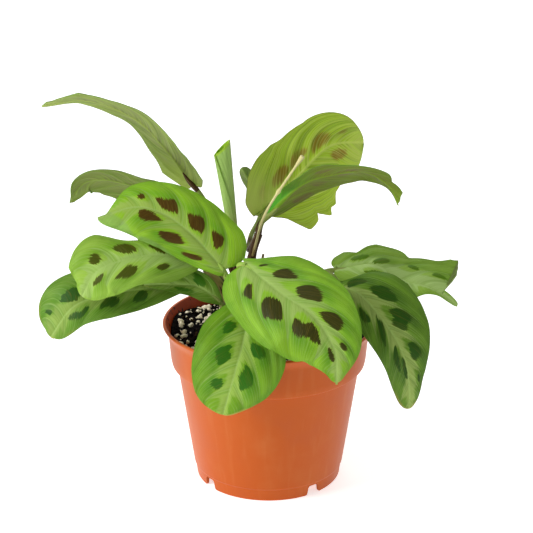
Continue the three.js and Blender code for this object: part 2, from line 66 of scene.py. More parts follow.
MM = 0.001
POT_LOW, POT_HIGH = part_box("pot")
POT_AXIS = np.array([(POT_LOW.x + POT_HIGH.x) / 2, (POT_LOW.y + POT_HIGH.y) / 2, POT_LOW.z])

# Angles in degrees beyond which edges stay sharp
CREASE = 40
BLADE_CREASE = 60
ROLL_CREASE = 50
GRAIN_CREASE = 80

# Soil level, the depth that stems stand in it, and the heap against the wall
SOIL_TOP = 75.5
HOLE_DEPTH = 12
HEAP = {"x": -48, "y": 13, "height": 5, "spread": 620}

# The pot's wall inside by height, the soil's gap to it, and the heights at which its sides turn
WALL_HEIGHTS = (5.2, 60.6, 65, 79, 84)
WALL_RADII = (36.8, 45.3, 48.5, 49.7, 52.3)
WALL_GAP = 0.4
SOIL_SIDES = (72, 65, 60.6, 30, 5.3)
SOIL_FOOT = 5.3
SOIL_FOOT_RING = 20
SOIL_SECTORS = 200
SOIL_RINGS = 64

# Loose grains on the soil: how far they keep from a stem, their radius and how much more the largest
# have, their length and height as shares of it, how uneven they are and how high they sit
GRAIN_PARTS = ("clear", "least", "more", "length", "height", "uneven", "seat")
PERLITE = dict(zip(GRAIN_PARTS, (3.4, 0.45, 1.05, 1.2, 0.8, 0.5, 0.35)))
CRUMB = dict(zip(GRAIN_PARTS, (2.6, 0.35, 0.75, (0.9, 2.2), 0.7, 0.7, 0.1)))
BRIM_CLEAR = 1.2
GRAIN_SEED = 11

# Leaf form: the blade's half turn from base to tip, its basal lobes, its teeth, its tail and its midrib
NARROWEST_HALF = 0.5
MIDRIB_WIDTH = 0.9
LOBE_ANGLE = 0.35
WAVE_LAG = 1.3
ROLL_START = 0.7
TOOTH_POINT = 1.4
TAIL_SHARE = 0.15
BOW_SPREAD = 12

# Petioles end in a pulvinus, which holds the blade from below and runs on under its base
STEM_SIDES = 20
PETIOLE_RADIUS = 1.25
PULVINUS_LENGTH = 7
PULVINUS_RADIUS = 1.45
PULVINUS_SINK = 0.7
BLADE_HOLD = 6
SHEATH_REACH = 0.35
DRY_SHEATH_REACH = 0.95

# Slight rings on a shoot where leaves once stood: their places, as shares of its length, spread and height
RING_PLACES = (0.55, 0.8)
RING_SPREAD = 0.03
RING_HEIGHT = 0.10
TRUNK_AGE = 0.95
TRUNK_DRYNESS = 0.02

# Side veins leave the midrib forward and bend on towards the tip
VEIN_LEAN = 0.55
VEIN_BEND = 0.6
MARGIN_SWEEP = 0.55

# The outermost main side veins lie this far beyond the outermost blotches. The first starts at most the
# second length behind the blade's base, and the last as far before its tip. The count of spaces stops
# short of half a space beyond them
END_VEIN_GAP = 1.5
END_VEIN_ROOM = 4
END_SPACE = 0.45

# The pale feather has a spine between the blotches' inner ends and a point along each main side vein: its
# gap to those ends, its least breadth, the share of the half that the points reach, how slim they are,
# and the way over which the feather fades
SPINE_GAP = 0.4
SPINE_LEAST = 1.2
FEATHER_REACH = 0.66
FEATHER_POINT = 5
FEATHER_SOFT = 3

# Dark green fades out over this way beyond a blotch, and depths end this far outside one. A blotch as
# broad as FULL_FRAY frays fully at its ends
HALO_REACH = 3.4
FAR_OUTSIDE = -9.0
FULL_FRAY = 6

# No painted shade of the turned-down margin lies nearer to the blade's base than this
TURNED_SHADE_FROM = 8

# Thin ribs stand this far apart between the main side veins
RIB_SPACING = 2.4

# A half at least this broad swells fully between its veins. Lengths of the slow and the small waves,
# and how far each leaf's noise is shifted from the last one's
FULL_SWELL = 8
SWAY_LENGTHS = (7.5, 6.0)
RIPPLE_LENGTHS = (2.3, 1.3)
NOISE_SHIFT = 7.3

# Fine, coarse and broad noise along the side veins: changes per mm across and along them, and its detail
VEIN_GRAINS = ((1.9, 0.11, 2), (0.95, 0.05, 1), (0.45, 0.08, 2))

SHOOTS = {
    "shoot_upright": {"foot": (-9, 5), "radius": 2.1, "trunk": [(-11, 6, 98), (-8, 6, 118), (-5, 6, 128)]},
    "shoot_back": {"foot": (-17, 14), "radius": 2, "trunk": [(-17, 14, 100)]},
    "shoot_left": {"foot": (-20, -8), "radius": 2.1, "trunk": [(-20, -11, 94)]},
    "shoot_front": {"foot": (-6, -13), "radius": 2, "trunk": [(-7, -15, 94)]},
    "shoot_right": {"foot": (7, 2), "radius": 2, "trunk": [(10, 2, 92)]},
}


def wedge(place, out, width, length):
    """Corners of a plain blotch, broad outside: its middle on the midrib and its distance from it"""
    low, high = place - width / 2, place + width / 2
    near, far = out - length / 2, out + length / 2
    return [(low, far), (low + 0.1 * width, out), (place, near), (high - 0.1 * width, out), (high, far - 0.8)]


# What each leaf has unless its own entry says otherwise
PLAIN_LEAF = {
    "lobe": 3,
    "teeth": ((), ()),
    "roll": (0, 0),
    "tail": (None, None),
    "ripple": 1,
    "lean": (0.4, 0.4),
    "under": ("#8a9a5c", "#7d6a5c", "#9cb45c"),
    "worn": 0.2,
    "blush": (0.2, 0.3),
    "fresh_base": 0.3,
    "joint_age": 0,
    "sheath": (1.22 * PETIOLE_RADIUS, 0),
}

# A leaf's petiole runs from its shoot to the blade and its rib from base to tip. face is the way that the
# upper side looks, at even steps. left and right hold the half widths at 30 to 150 degrees of the half
# turn. These are given for the left and the right half: fold and curl at even steps, in degrees, teeth
# and tail as half_widths takes them, and roll, how far the margin turns down. lobe is how far the base
# sweeps back, for both halves or for each. wave is the height, number and phase of the waves, and ripple
# the share of small ones. A blotch is its corners, each the place on the midrib where its side vein
# starts and its distance from the midrib, and lean is how much more the veins of each half bend to the
# tip than those lines do. coat and under are the colours that COAT_PARTS and UNDER_PARTS name.
# turned_shade is painted shade, a duller green for the turned-down margin: how broad the left half stays
# free of it, where it does, and the place beyond which both halves take it. worn is the share of tan at
# the tip, blush how strongly blotches and purple show below, fresh_base and base_tint the share and
# colour of the fresh base below, and through the share of light let through. joint_age is how brown the
# pulvinus is, and sheath the radius and dryness of the petiole's foot.
LEAF_FORMS = {
    "leaf_front": {
        "shoot": "shoot_front",
        "petiole": [(-10, -18, 106), (-14, -24, 120), (-14, -28, 124)],
        "rib": [(-11, -30, 125), (5, -44, 116.5), (21, -56, 109), (31, -65, 95.5), (32.3, -68.3, 78.8)],
        "face": [(-0.1, -0.75, 0.65), (0, -0.75, 0.65), (0.1, -0.9, 0.4)],
        "left": [5, 20.5, 21.8, 15.8, 5],
        "right": [17.5, 24, 26.5, 20.5, 5.5],
        "fold": ([8], [6]),
        "curl": ([-22], [-18]),
        "lobe": 5,
        "wave": (0.8, 2, 0),
        "blotches": (
            [
                [(4.6, 3.5), (5.8, 3.8), (6.2, 6), (5.7, 7.5), (4.7, 7)],
                [(9.2, 12.3), (9.6, 8.5), (11.3, 4.3), (14.2, 4), (16.3, 7.5), (18.8, 11.6), (14, 11.6)],
                [(24.4, 5.4), (24.5, 10.6), (27, 12.4), (31, 11.4), (38.6, 7.5), (34.5, 3.9), (30.2, 3),
                 (28, 4.8)],
                [(43, 2.4), (42.8, 9), (46, 10.2), (50.5, 8.2), (54.5, 5.2), (49.6, 2), (46, 2.8)],
                [(58.7, 4.5), (60, 6.4), (62, 5.6), (63, 3.9), (61.3, 2.7), (59.6, 3.3)],
            ],
            [
                [(0.6, 12.9), (3, 9.5), (4.6, 6.2), (6.6, 5.7), (7.9, 9), (7.4, 11.8), (4.5, 12.2)],
                [(12.8, 11), (15.6, 6.2), (19.6, 4.6), (22.5, 3.3), (25.6, 4), (26.2, 8.5), (25.2, 12.2),
                 (20, 13), (15, 14.5), (13, 16)],
                [(31.6, 12.4), (33.3, 7.4), (35.5, 6), (41.2, 6.6), (44, 3.2), (48, 2.7), (52.3, 3.7),
                 (57, 5.3), (50, 7.8), (45.5, 8.8), (41, 11.3), (37, 13)],
                [(59.6, 2.2), (64.5, 1), (70, 0.9), (66.5, 3.2), (63.5, 3.8), (60.8, 3.3)],
            ],
        ),
        "lean": (1, 0),
        "coat": ("#98cc30", "#a7c763", "#69a51f", "#3b3c08"),
        "worn": 0.15,
        "joint_age": -1.2,
        "teeth": (((169, 9, -1.2),), ((9, 8, 4.5), (138, 14, 1.8), (169, 9, -1.2))),
    },
    "leaf_over_rim": {
        "shoot": "shoot_front",
        "petiole": [(-8, -22, 103), (-8, -30, 110)],
        "rib": [(-8.5, -34, 108.5), (-11.5, -49, 96), (-16, -59, 81), (-22, -61, 59.5)],
        "face": [(0, -0.6, 0.8), (0, -0.9, 0.4), (-0.1, -1, 0.1)],
        "left": [8, 17, 22.5, 18.5, 8],
        "right": [9, 19.5, 22, 20, 13],
        "fold": ([8], [8]),
        "curl": ([-20], [-20]),
        "wave": (0.6, 2, 1),
        "blotches": (
            [
                wedge(4, 8, 7, 9),
                [(15.3, 12.5), (17.5, 8), (19.8, 4.5), (21.5, 3.2), (23.4, 4), (25.1, 7.3), (20, 11.4)],
                [(30.2, 5), (30.8, 9.8), (33.5, 9.9), (37, 8.4), (44, 5.2), (41, 2.7), (36.8, 2.3),
                 (34.6, 3.9), (31.8, 3.2)],
            ],
            [
                [(6, 10.4), (9.3, 6.8), (14.2, 3.8), (15.6, 7.5), (13.5, 10.8), (10, 11)],
                [(20.2, 12.5), (21.4, 8.4), (22.6, 5), (24.2, 4.4), (25.5, 5.7), (28.4, 3.9), (30.9, 3.9),
                 (31.8, 8.4), (27.5, 10), (24, 10.8)],
                [(36.9, 9.8), (38.2, 6.6), (40, 4.8), (43.2, 3.8), (45.8, 5.6), (42.3, 8.4), (39.5, 10)],
            ],
        ),
        "lean": (0.4, 0),
        "coat": ("#80b224", "#a3c753", "#579514", "#307009"),
        "worn": 1,
    },
    "leaf_left_upper": {
        "shoot": "shoot_left",
        "petiole": [(-20, -17, 103), (-20, -23, 113)],
        "rib": [
            (-22, -26, 121), (-34.5, -25, 136), (-48, -24, 147.5), (-63.5, -24, 152.5), (-82.5, -26, 147.5),
        ],
        "face": [(0, -0.8, 0.6), (0, -0.8, 0.6), (-0.3, -0.8, 0.5)],
        "left": [5.2, 12, 15.5, 15, 6],
        "right": [16.5, 19.5, 17, 11.5, 1],
        "fold": ([4], [8]),
        "curl": ([-22], [-20]),
        "lobe": (3.4, 4.5),
        "wave": (0.8, 2, 0),
        "blotches": (
            [
                [(7.6, 5.6), (8.8, 9.2), (12, 10.4), (14.8, 9.4), (12.4, 7), (10.3, 4.6), (8.7, 4.3)],
                [(18.6, 5.3), (20, 10.2), (24.5, 11.2), (29, 10.5), (33, 8.4), (28.5, 6.3), (26.5, 4.6),
                 (23.8, 4.1), (21.5, 5.5)],
                [(36, 2.6), (40, 6), (44.5, 6.8), (49, 5.7), (53, 1), (48, 0.9), (44, 1.2), (41, 2.7)],
            ],
            [
                [(2.8, 11), (4.3, 7.5), (7, 4.4), (10.4, 3.4), (12.2, 8), (10, 9.2), (6, 10.2)],
                [(15.6, 9), (17.4, 3.2), (20.5, 3.6), (22.7, 1.8), (25.4, 1.8), (27.7, 6.4), (23, 7.6),
                 (17.6, 10.2)],
                [(31, 8), (32.9, 2.6), (35.5, 3.3), (38, 2), (42, 2.3), (43, 6.1), (40, 6.7), (35.5, 7.2),
                 (33, 8.8)],
                [(46, 7.2), (47.6, 4.1), (49.5, 3.7), (51, 4.1), (49.4, 6)],
            ],
        ),
        "lean": (0.7, -0.1),
        "coat": ("#9ed02c", "#a8c858", "#73b11d", "#523904"),
        "worn": 0.1,
        "roll": (2.5, 0),
        "joint_age": -1.2,
        # Painted shade: a duller green where the left margin turns down, and towards the tip
        "turned_shade": (11.5, 48, 66),
        "teeth": ((), ((5, 7, 1.8), (15, 10, 2.5), (45, 14, 0.6))),
    },
    "leaf_left_middle": {
        "shoot": "shoot_left",
        "petiole": [(-22, -14, 104), (-28, -16, 115)],
        "rib": [
            (-36, -20, 122.5), (-53, -27, 129), (-71, -31, 127.5), (-83.5, -34, 122.5), (-90.5, -36, 111),
        ],
        "face": [(0, -0.7, 0.7), (0, -0.7, 0.7), (-0.2, -0.8, 0.5)],
        "left": [6.3, 14, 15, 15.4, 10.8],
        "right": [3, 6.5, 9.5, 17, 6],
        "fold": ([6], [10]),
        "curl": ([-15], [-15]),
        "wave": (0.8, 2, 2),
        "blotches": (
            [
                [(10.4, 5.3), (11.1, 8.4), (15.2, 8.4), (17.2, 6.7), (15, 4.9), (12.5, 4.7)],
                [(25.8, 9), (28, 10.2), (31, 10), (33.2, 8.9), (35.5, 9.1), (38.8, 8), (36, 5.7), (34, 3.6),
                 (32.5, 3.1), (30, 4.9), (27.3, 4.6)],
                [(46.4, 3.2), (48, 5.1), (51, 5.4), (54, 4.3), (58, 2.4), (52, 2.2), (48.3, 2.5)],
            ],
            [
                # This blotch covers a dark patch that is partly a real blotch and partly painted shadow
                [(15, 0.9), (18.5, 0.8), (21, 2.8), (21.8, 5.4), (18.5, 5.2), (17, 3)],
                [(27, 8.2), (27, 3.9), (29, 2.9), (32.5, 2.2), (35.4, 3.6), (35.8, 7.4), (31.5, 8.4)],
                [(40.8, 8.6), (42.9, 5), (45.5, 3), (48.2, 3), (47.9, 5.4), (45, 7.5), (42.5, 8.5)],
            ],
        ),
        "lean": (0.6, -0.4),
        "coat": ("#a5ce4c", "#acce6b", "#7eb02b", "#4a5506"),
        "worn": 0.1,
        "teeth": (((135, 12, 1.2),), ((112, 12, 1.2), (138, 8, 1.5), (150, 7, -0.9))),
        "sheath": (4.2, 0.22),
    },
    "leaf_left_lower": {
        "shoot": "shoot_left",
        "petiole": [(-25, -12, 99), (-33, -14, 105)],
        "rib": [
            (-39.5, -16, 107.5), (-58, -20, 109), (-77.5, -26, 108), (-95, -32, 104), (-106.8, -34, 88.6),
        ],
        "face": [(0, -0.7, 0.7), (0, -0.7, 0.7), (-0.3, -0.8, 0.5)],
        "left": [2.5, 9, 12.5, 11, 7],
        "right": [4.5, 7, 13, 17.5, 12.5],
        "fold": ([8], [8]),
        "curl": ([-18], [-18]),
        "wave": (0.8, 2, 1),
        "blotches": (
            [
                [(18.3, 5), (19.8, 7), (24.6, 7.2), (26.2, 5), (25, 1), (22, 0.7), (19.8, 2.5)],
                [(32.3, 5.8), (35, 7.8), (38, 6.2), (41.6, 7.6), (43.1, 5), (41.8, 1.9), (37, 1.8),
                 (33.8, 3.1)],
                [(48.6, 3.3), (49.5, 6.4), (52.5, 7.5), (57, 6.5), (65, 2), (60.5, 2.3), (55.5, 3.5),
                 (53.8, 4.9), (51, 2.9)],
            ],
            [
                wedge(22, 5, 7, 8),
                wedge(38, 5.5, 7, 8),
                [(46.2, 9.2), (49.4, 5), (52.5, 2.4), (55, 1.6), (57.7, 3.5), (57.2, 7), (53.5, 8.2),
                 (50, 8.6)],
                [(59.7, 9.9), (61.1, 7.3), (63.5, 6), (65.3, 6.4), (63.5, 8.2), (62, 9.5)],
            ],
        ),
        "lean": (0.6, -1),
        "coat": ("#7ea83a", "#96b452", "#5c8f21", "#305f17"),
        "worn": 0.4,
        "teeth": (((168, 9, -0.8),), ((166, 9, -1.5),)),
    },
    "leaf_left_small": {
        "shoot": "shoot_left",
        "petiole": [(-20, -17, 94), (-21, -22, 98)],
        "rib": [(-24, -25, 104), (-34, -25, 111.5), (-47, -23, 112), (-61.5, -21, 111)],
        "face": [(0, -0.8, 0.5), (0, -0.8, 0.5), (0, -0.8, 0.5)],
        "left": [2.5, 6, 5, 3, 1.5],
        "right": [2.5, 6.6, 8.4, 6, 3],
        "fold": ([10], [6]),
        "curl": ([-10], [-10]),
        "lobe": 2,
        "wave": (0.3, 2, 0),
        "blotches": (
            [
                [(12.5, 2.5), (16, 3.6), (20, 3.2), (25.5, 1), (20, 1.5)],
            ],
            [
                [(9.3, 0.8), (13.6, 0.2), (14.8, 2.5), (12.5, 4.7), (9, 6.8), (7.8, 5)],
                wedge(23, 3.5, 5, 3),
            ],
        ),
        "coat": ("#779f30", "#96b852", "#5a891e", "#3a7608"),
    },
    "leaf_back_long": {
        "shoot": "shoot_back",
        "petiole": [(-19, 15, 112), (-26, 17, 130), (-34, 19, 144)],
        "rib": [(-40, 20, 152.5), (-50.5, 17, 168.5), (-65.5, 13, 186), (-89, 8, 197), (-111, 4, 195)],
        "face": [(0.52, 0.7, 0.49), (0.59, 0.55, 0.59), (0.28, 0.41, 0.87), (-0.23, 0.29, 0.93)],
        "left": [10.5, 15.2, 17.4, 17, 9.5],
        "right": [10, 15, 14, 17, 7],
        "fold": ([-5, 0, 5, 8], [-5, 0, 2, 2]),
        "curl": ([-6], [-6]),
        "lobe": 7,
        "wave": (0.5, 2.5, 0),
        "blotches": (
            [wedge(10, 8, 8, 8), wedge(25, 8, 10, 8), wedge(42, 7, 10, 7), wedge(58, 6, 8, 6)],
            [wedge(8, 8, 8, 8), wedge(22, 8, 10, 8), wedge(38, 7, 10, 7), wedge(55, 6, 9, 6)],
        ),
        "coat": ("#86b02e", "#8fae58", "#5f9a1c", "#4a4210"),
        "under": ("#a3b660", "#988671", "#bbcf62"),
        "joint_age": 0.9,
        "ripple": 0.4,
        "through": 0.28,
        "blush": (0.15, 0.7),
        "teeth": (
            ((30, 8, 1.4), (48, 8, -1), (68, 9, 1.3), (85, 10, -1.3), (129, 6, 4), (160, 10, 4)),
            ((42, 14, 3),),
        ),
    },
    "leaf_back_arched": {
        "shoot": "shoot_back",
        "petiole": [(-22, 14, 114), (-32, 14, 131), (-42, 14, 142)],
        "rib": [(-48.5, 14, 146), (-66, 11, 152), (-82.5, 8, 156.5), (-92.5, 5, 155), (-99.3, 4, 145.4)],
        "face": [(0.1, 0.75, 0.66), (0.11, 0.7, 0.71), (-0.11, 0.62, 0.78), (-0.87, 0.28, 0.4)],
        "left": [9, 14.5, 12.5, 13.5, 4],
        "right": [9, 16.5, 15, 12, 8],
        "fold": ([-7, -3, 4, 0], [-7, -8, -3, -9]),
        "curl": ([-8], [-8]),
        "wave": (0.5, 2.5, 0),
        "blotches": (
            [wedge(9, 7, 8, 7), wedge(22, 7, 9, 7), wedge(36, 6, 9, 6)],
            [wedge(8, 7, 8, 7), wedge(21, 7, 9, 7), wedge(35, 6, 9, 6)],
        ),
        "coat": ("#7ea62e", "#8bab55", "#5a901e", "#3f4a12"),
        "under": ("#94aa53", "#9b866b", "#aac755"),
        "ripple": 0.4,
        "through": 0.28,
        "blush": (0.15, 0.6),
        "teeth": ((), ((104, 7, -0.8), (128, 10, 2.6), (160, 9, -1))),
    },
    "leaf_right_tall": {
        "shoot": "shoot_upright",
        "petiole": [(-5, 11, 131)],
        "rib": [(0, 20, 138), (15, 28, 152), (31.5, 33, 166.5), (48.8, 36, 167.6)],
        "face": [(0.2, 0.9, 0.3), (0.2, 0.9, 0.3), (0.2, 0.9, 0.3)],
        "left": [2, 24, 21, 19, 22.5],
        "right": [12.6, 22.6, 20.2, 20.5, 9.8],
        "fold": ([5], [5]),
        "curl": ([-15], [-15]),
        "lobe": (10, 10.5),
        "wave": (0.8, 2, 1),
        "blotches": (
            [
                wedge(14, 7, 8, 8),
                wedge(28, 8, 9, 8),
                [(36.2, 7.2), (38.5, 9.7), (44, 10.8), (48, 8.7), (52, 4.4), (46, 3.6), (41, 3.8)],
            ],
            [
                wedge(-0.6, 7, 3.6, 8),
                [(5.2, 4.8), (5.8, 9.8), (11, 9.8), (16.2, 8.7), (17.8, 5.4), (13, 3.8)],
                [(18.3, 4.8), (18.8, 9.3), (25, 9.5), (30.7, 7), (31.3, 4.6), (24, 4.3)],
                [(33.5, 2.8), (33.3, 9.2), (37, 9), (41, 7.6), (43.3, 4.5), (42.1, 2), (39, 1.6),
                 (37.5, 3.5), (35.5, 2)],
                [(44.8, 5.4), (45.4, 8.3), (47.7, 7.6), (48.8, 6), (47, 4.6)],
            ],
        ),
        "coat": ("#86b82a", "#92b356", "#5f9a1c", "#553709"),
        # Painted light: these underside colours are far lighter than the leaf's own, for an underside that
        # faces down, away from the key light
        "under": ("#d9f749", "#ad5e24", "#f6ff8d"),
        "worn": 0.1,
        "teeth": (
            ((16, 9, 5), (45, 8, -2), (53, 11, 5), (67.5, 4, -3.4), (74.5, 4, 4.4), (82, 8, 3.2)),
            ((5, 7, -3.9), (15, 10, -4.5), (45, 14, 0.8), (80, 12, 0.8), (108, 14, -1.6)),
        ),
        "blush": (0.75, 0.1),
        "through": 0.34,
    },
    "leaf_right_arched": {
        "shoot": "shoot_upright",
        "petiole": [(-3, 5, 135)],
        "rib": [
            (1, 4, 140), (16, 2, 155.5), (31, 0, 161.5), (47.5, -2, 163.5), (59.6, -2.5, 156.2),
            (64.3, -3, 146.4),
        ],
        "face": [(-0.46, 0.62, 0.63), (-0.31, 0.59, 0.75), (0.14, 0.48, 0.87), (0.66, 0.41, 0.63)],
        "left": [9, 16.5, 19, 13, 2.5],
        "right": [3, 6.5, 17.5, 12.5, 4.5],
        "fold": ([-2, 0, 0, 5], [105, 5, 2, 20]),
        "curl": ([-8], [-8]),
        "wave": (0.5, 2.5, 0),
        "blotches": (
            [wedge(4.5, 11.5, 8, 9), wedge(22, 8, 9, 7), wedge(40, 5, 9, 4), wedge(58.5, 3, 9, 2.4)],
            [wedge(16, 3, 8, 4), wedge(31.5, 4.8, 9, 5), wedge(47.5, 2.5, 9, 3.5)],
        ),
        "coat": ("#86b82a", "#92b356", "#5f9a1c", "#4a4210"),
        "under": ("#838e3c", "#896455", "#96ba33"),
        "ripple": 0.4,
        "blush": (0.85, 0.5),
        "fresh_base": 0.45,
        "through": 0.26,
        "teeth": ((), ((100, 8, -0.6), (134, 9, -4.2), (147, 6, 1.6), (168, 9, -1.5))),
        "base_tint": "#4fb62c",
    },
    "leaf_back_young": {
        "shoot": "shoot_upright",
        "petiole": [(-10, 16, 116), (-9, 30, 119), (-5, 40, 124)],
        "rib": [(-3, 44, 131), (-9, 49, 140), (-14, 52, 149)],
        "face": [(0, 0.9, 0.3), (0, 0.9, 0.3)],
        "left": [3, 4, 4, 4, 3],
        "right": [3, 4, 4, 4, 3],
        "fold": ([30], [30]),
        "curl": ([-12], [-12]),
        "lobe": 1,
        "wave": (0, 2, 0),
        "blotches": (
            [wedge(8, 2, 3, 2)],
            [wedge(8, 2, 3, 2)],
        ),
        "coat": ("#86b82a", "#92b356", "#5f9a1c", "#4a4210"),
        "under": ("#7f8c5a", "#80745f", "#9cb45c"),
        "worn": 0,
        "through": 0.3,
    },
    "leaf_right_drooping": {
        "shoot": "shoot_right",
        "petiole": [(14, 0, 102), (23, -6, 112), (31, -12, 113)],
        "rib": [
            (35, -14, 108), (45.5, -25, 107), (58.5, -33, 93.5), (66.5, -36, 79), (69.5, -36, 63.5),
            (70, -34, 50),
        ],
        "face": [(-0.1, -0.6, 0.8), (0.2, -0.9, 0.4), (0.2, -1, 0.1)],
        "left": [5.5, 20, 20, 9.5, 4.5],
        "right": [4.5, 11.5, 12.5, 10, 6],
        "fold": ([8], [10]),
        "curl": ([-20], [-15]),
        "wave": (0.8, 2, 0),
        "blotches": (
            [
                [(2, 4.2), (2.3, 7.5), (5, 8.2), (8.2, 7.4), (9, 4.5), (7.1, 0.3), (5, 1)],
                [(9.3, 12.7), (10.3, 8), (11.8, 5.4), (15, 4.8), (19.2, 5.4), (20.3, 10), (18.6, 12.3),
                 (14, 12.9)],
                [(24, 8), (23.2, 11), (26.5, 13.2), (29, 12.3), (33, 8.7), (38.4, 6.5), (35.6, 2.6),
                 (32.5, 3.2), (30, 5.1), (26, 4.8)],
                [(42.3, 6.8), (44.5, 9), (47, 9), (50.5, 7.2), (54, 4.2), (51, 3), (48.5, 3.7), (45.5, 3.3)],
                [(59, 5.1), (61, 6.2), (65.6, 5.2), (62, 4.3)],
            ],
            [
                [(15.6, 4.7), (19, 4.9), (23.8, 4.5), (25.3, 6), (20, 8.8), (17, 8.3)],
                [(25.6, 0.9), (29.5, 1.7), (31.5, 0.7), (35.7, 2.7), (39.4, 7), (35, 7.4), (31, 5.1)],
                [(43.1, 1.3), (48, 2.2), (53, 3.3), (59, 3.6), (54, 5.2), (48, 5.8), (45.3, 4.8)],
                [(51, 0.9), (54, 0.2), (66.6, 0.1), (61, 2.4), (54, 2.2)],
            ],
        ),
        "lean": (0.7, 1.1),
        "coat": ("#6d9824", "#a4bd60", "#487314", "#275503"),
        "worn": 0.6,
    },
    "leaf_right_outer": {
        "shoot": "shoot_right",
        "petiole": [(18, 4, 101), (27, 6, 107)],
        "rib": [(34.5, 6, 109.5), (53.5, 8, 111), (68, 9, 102.5), (83, 8, 98), (96.7, 6, 89)],
        "face": [(-0.11, 0.35, 0.93), (0.32, 0.31, 0.89), (0.49, 0.27, 0.83)],
        "left": [9.5, 12.2, 16.4, 18.3, 18],
        "right": [12.5, 15, 15, 5, 2],
        "fold": ([45, 50, 52, 60], [-40, -45, -40, -30]),
        "curl": ([-10, 0, 5], [-15]),
        "wave": (1, 2, 2.2),
        "blotches": (
            [
                [(5.2, 4.4), (5.8, 6.2), (9, 6.6), (13.7, 6), (14.3, 4), (11, 2.4), (7, 3.2)],
                [(17.6, 2.4), (18.4, 6.2), (20.5, 6.9), (23.2, 6.2), (23, 3.4), (21.1, 0.8), (18.3, 0.5)],
                [(29.2, 10), (31.5, 11.3), (37.6, 9.1), (36.6, 7.8), (31, 8.4)],
                wedge(45, 9, 6, 4),
            ],
            # The right half turns steeply away from the light; its blotches cover that dark band and are
            # partly real blotches and partly painted shade
            [
                [(8.6, 5.2), (17, 4.4), (24, 3.2), (27.5, 4.5), (20, 6.9), (12, 6.9)],
                [(28.7, 1.2), (34, 0.1), (38.4, 0.6), (39.4, 5), (36, 8.3), (30.8, 7.3)],
            ],
        ),
        "lean": (0.3, 0),
        "coat": ("#9cc448", "#b8d87e", "#7eac31", "#58850c"),
        "teeth": (
            ((40, 9, 1), (53, 8, -1.8), (67, 10, 1.2), (97, 15, -2.1), (127, 9, 3.2), (134, 8, 3.8)),
            (),
        ),
        "tail": ((134.6, 2.9, 2.8), None),
    },
}
LEAVES = {name: PLAIN_LEAF | form for name, form in LEAF_FORMS.items()}
COAT_PARTS = ("blade", "feather", "shade", "blotch")
UNDER_PARTS = ("body", "flush", "fresh")

# The youngest leaf is still rolled: a spiral sheet with a slanting mouth
ROLLED = PLAIN_LEAF | {
    "shoot": "shoot_back",
    "petiole": [(-17, 13, 110), (-17, 11, 122)],
    "rib": [(-18, 10, 130), (-21, 10, 155), (-23, 10, 172.4)],
    "face": [(0, 1, 0), (0, 1, 0)],
    "foot_radius": 2.9,
    "mouth_radius": 4.5,
    "turns": 1.3,
    "pitch": 0.85,
    "sheet": 0.5,
    "seam": -40,
    "seam_twist": -110,
    "slant": 0.8,
    "crinkle": 0.12,
}

# Dry flower stalk with its joint, and the short spur and bud beside it
STALK = {
    "way": [(-7, 3, 121), (-3, -1, 138), (4, -3, 152), (16.8, -4, 172)],
    "radius": 0.62,
    "top_radius": 1.25,
    "knob": 0.5,
    "knob_place": 0.62,
    "flare_start": 0.88,
}
TWIG_RADIUS = 0.8
TWIG_AGE = 0.4
SPUR = {"way": [(-8, 6, 112), (-8, 4.5, 117), (-7, 3, 121)], "dryness": 0.3}
BUD = {"way": [(-8, 6, 104), (-4, 5, 112), (-2.5, 5, 118)], "dryness": 0.25}

# The pot's wall as corners of radius, height and edge rounding, up its outside and down its inside
POT_CORNERS = [
    (36.0, 3.6, 0.3),
    (36.0, 0.0, 0.25),
    (37.3, 0.0, 0.4),
    (38.1, 6.3, 0.3),
    (38.7, 7.0, 0.4),
    (46.8, 61.2, 0.5),
    (49.4, 62.0, 0.7),
    (50.0, 65.0, 4.0),
    (51.2, 79.0, 3.0),
    (53.5, 82.4, 0.3),
    (54.0, 83.1, 0.3),
    (53.6, 84.0, 0.45),
    (52.4, 84.0, 0.5),
    (49.9, 79.0, 3.0),
    (48.7, 65.0, 3.0),
    (45.5, 60.6, 3.0),
    (37.0, 4.9, 1.5),
]
NOTCH = {
    "top": 6.6, "foot": 9.4, "height": 5.4, "depth": 9, "bend": 1.4, "flare": 0.25, "circle": 37.3,
    "angles": (-52.5, 37.5, 127.5, 217.5),
}
DRAIN = {"radius": 3.5, "circle": 21, "count": 6, "depth": 8}

# Half the side of the studio floor, in metres
FLOOR = 6.0


def linear(code):
    """An sRGB hex colour as the linear colour that Blender works in"""
    channels = [int(code[i : i + 2], 16) / 255 for i in (1, 3, 5)]
    return tuple(c / 12.92 if c <= 0.04045 else ((c + 0.055) / 1.055) ** 2.4 for c in channels)


def colour_setting(name, description, code):
    return FloatVectorProperty(
        name=name, description=description, default=linear(code), subtype="COLOR", size=3
    )


def length_setting(name, description, millimetres):
    return FloatProperty(
        name=name, description=description, default=millimetres * MM, subtype="DISTANCE", unit="LENGTH"
    )


class PotSettings(bpy.types.PropertyGroup):
    """Make of the pot"""

    facets: IntProperty(name="Facets", description="Straight steps round the pot", default=256, min=32)
    plastic: colour_setting("Plastic", "Terracotta pigment of the plastic", "#c15810")
    dust: colour_setting("Dust", "Pale scuffs and dust on the plastic", "#d69558")


class SoilSettings(bpy.types.PropertyGroup):
    """Make of the potting mix"""

    peat: colour_setting("Peat", "Moist peat", "#0b0706")
    bark: colour_setting("Bark", "Dry bark and fibre", "#54391f")
    perlite: colour_setting("Perlite", "Expanded perlite", "#f8edd0")
    grains: IntProperty(name="Perlite grains", description="Grains on the surface", default=540, min=0)
    crumbs: IntProperty(name="Peat crumbs", description="Crumbs on the surface", default=1200, min=0)
    lump: length_setting("Lump", "Height of the surface's lumps", 0.7)


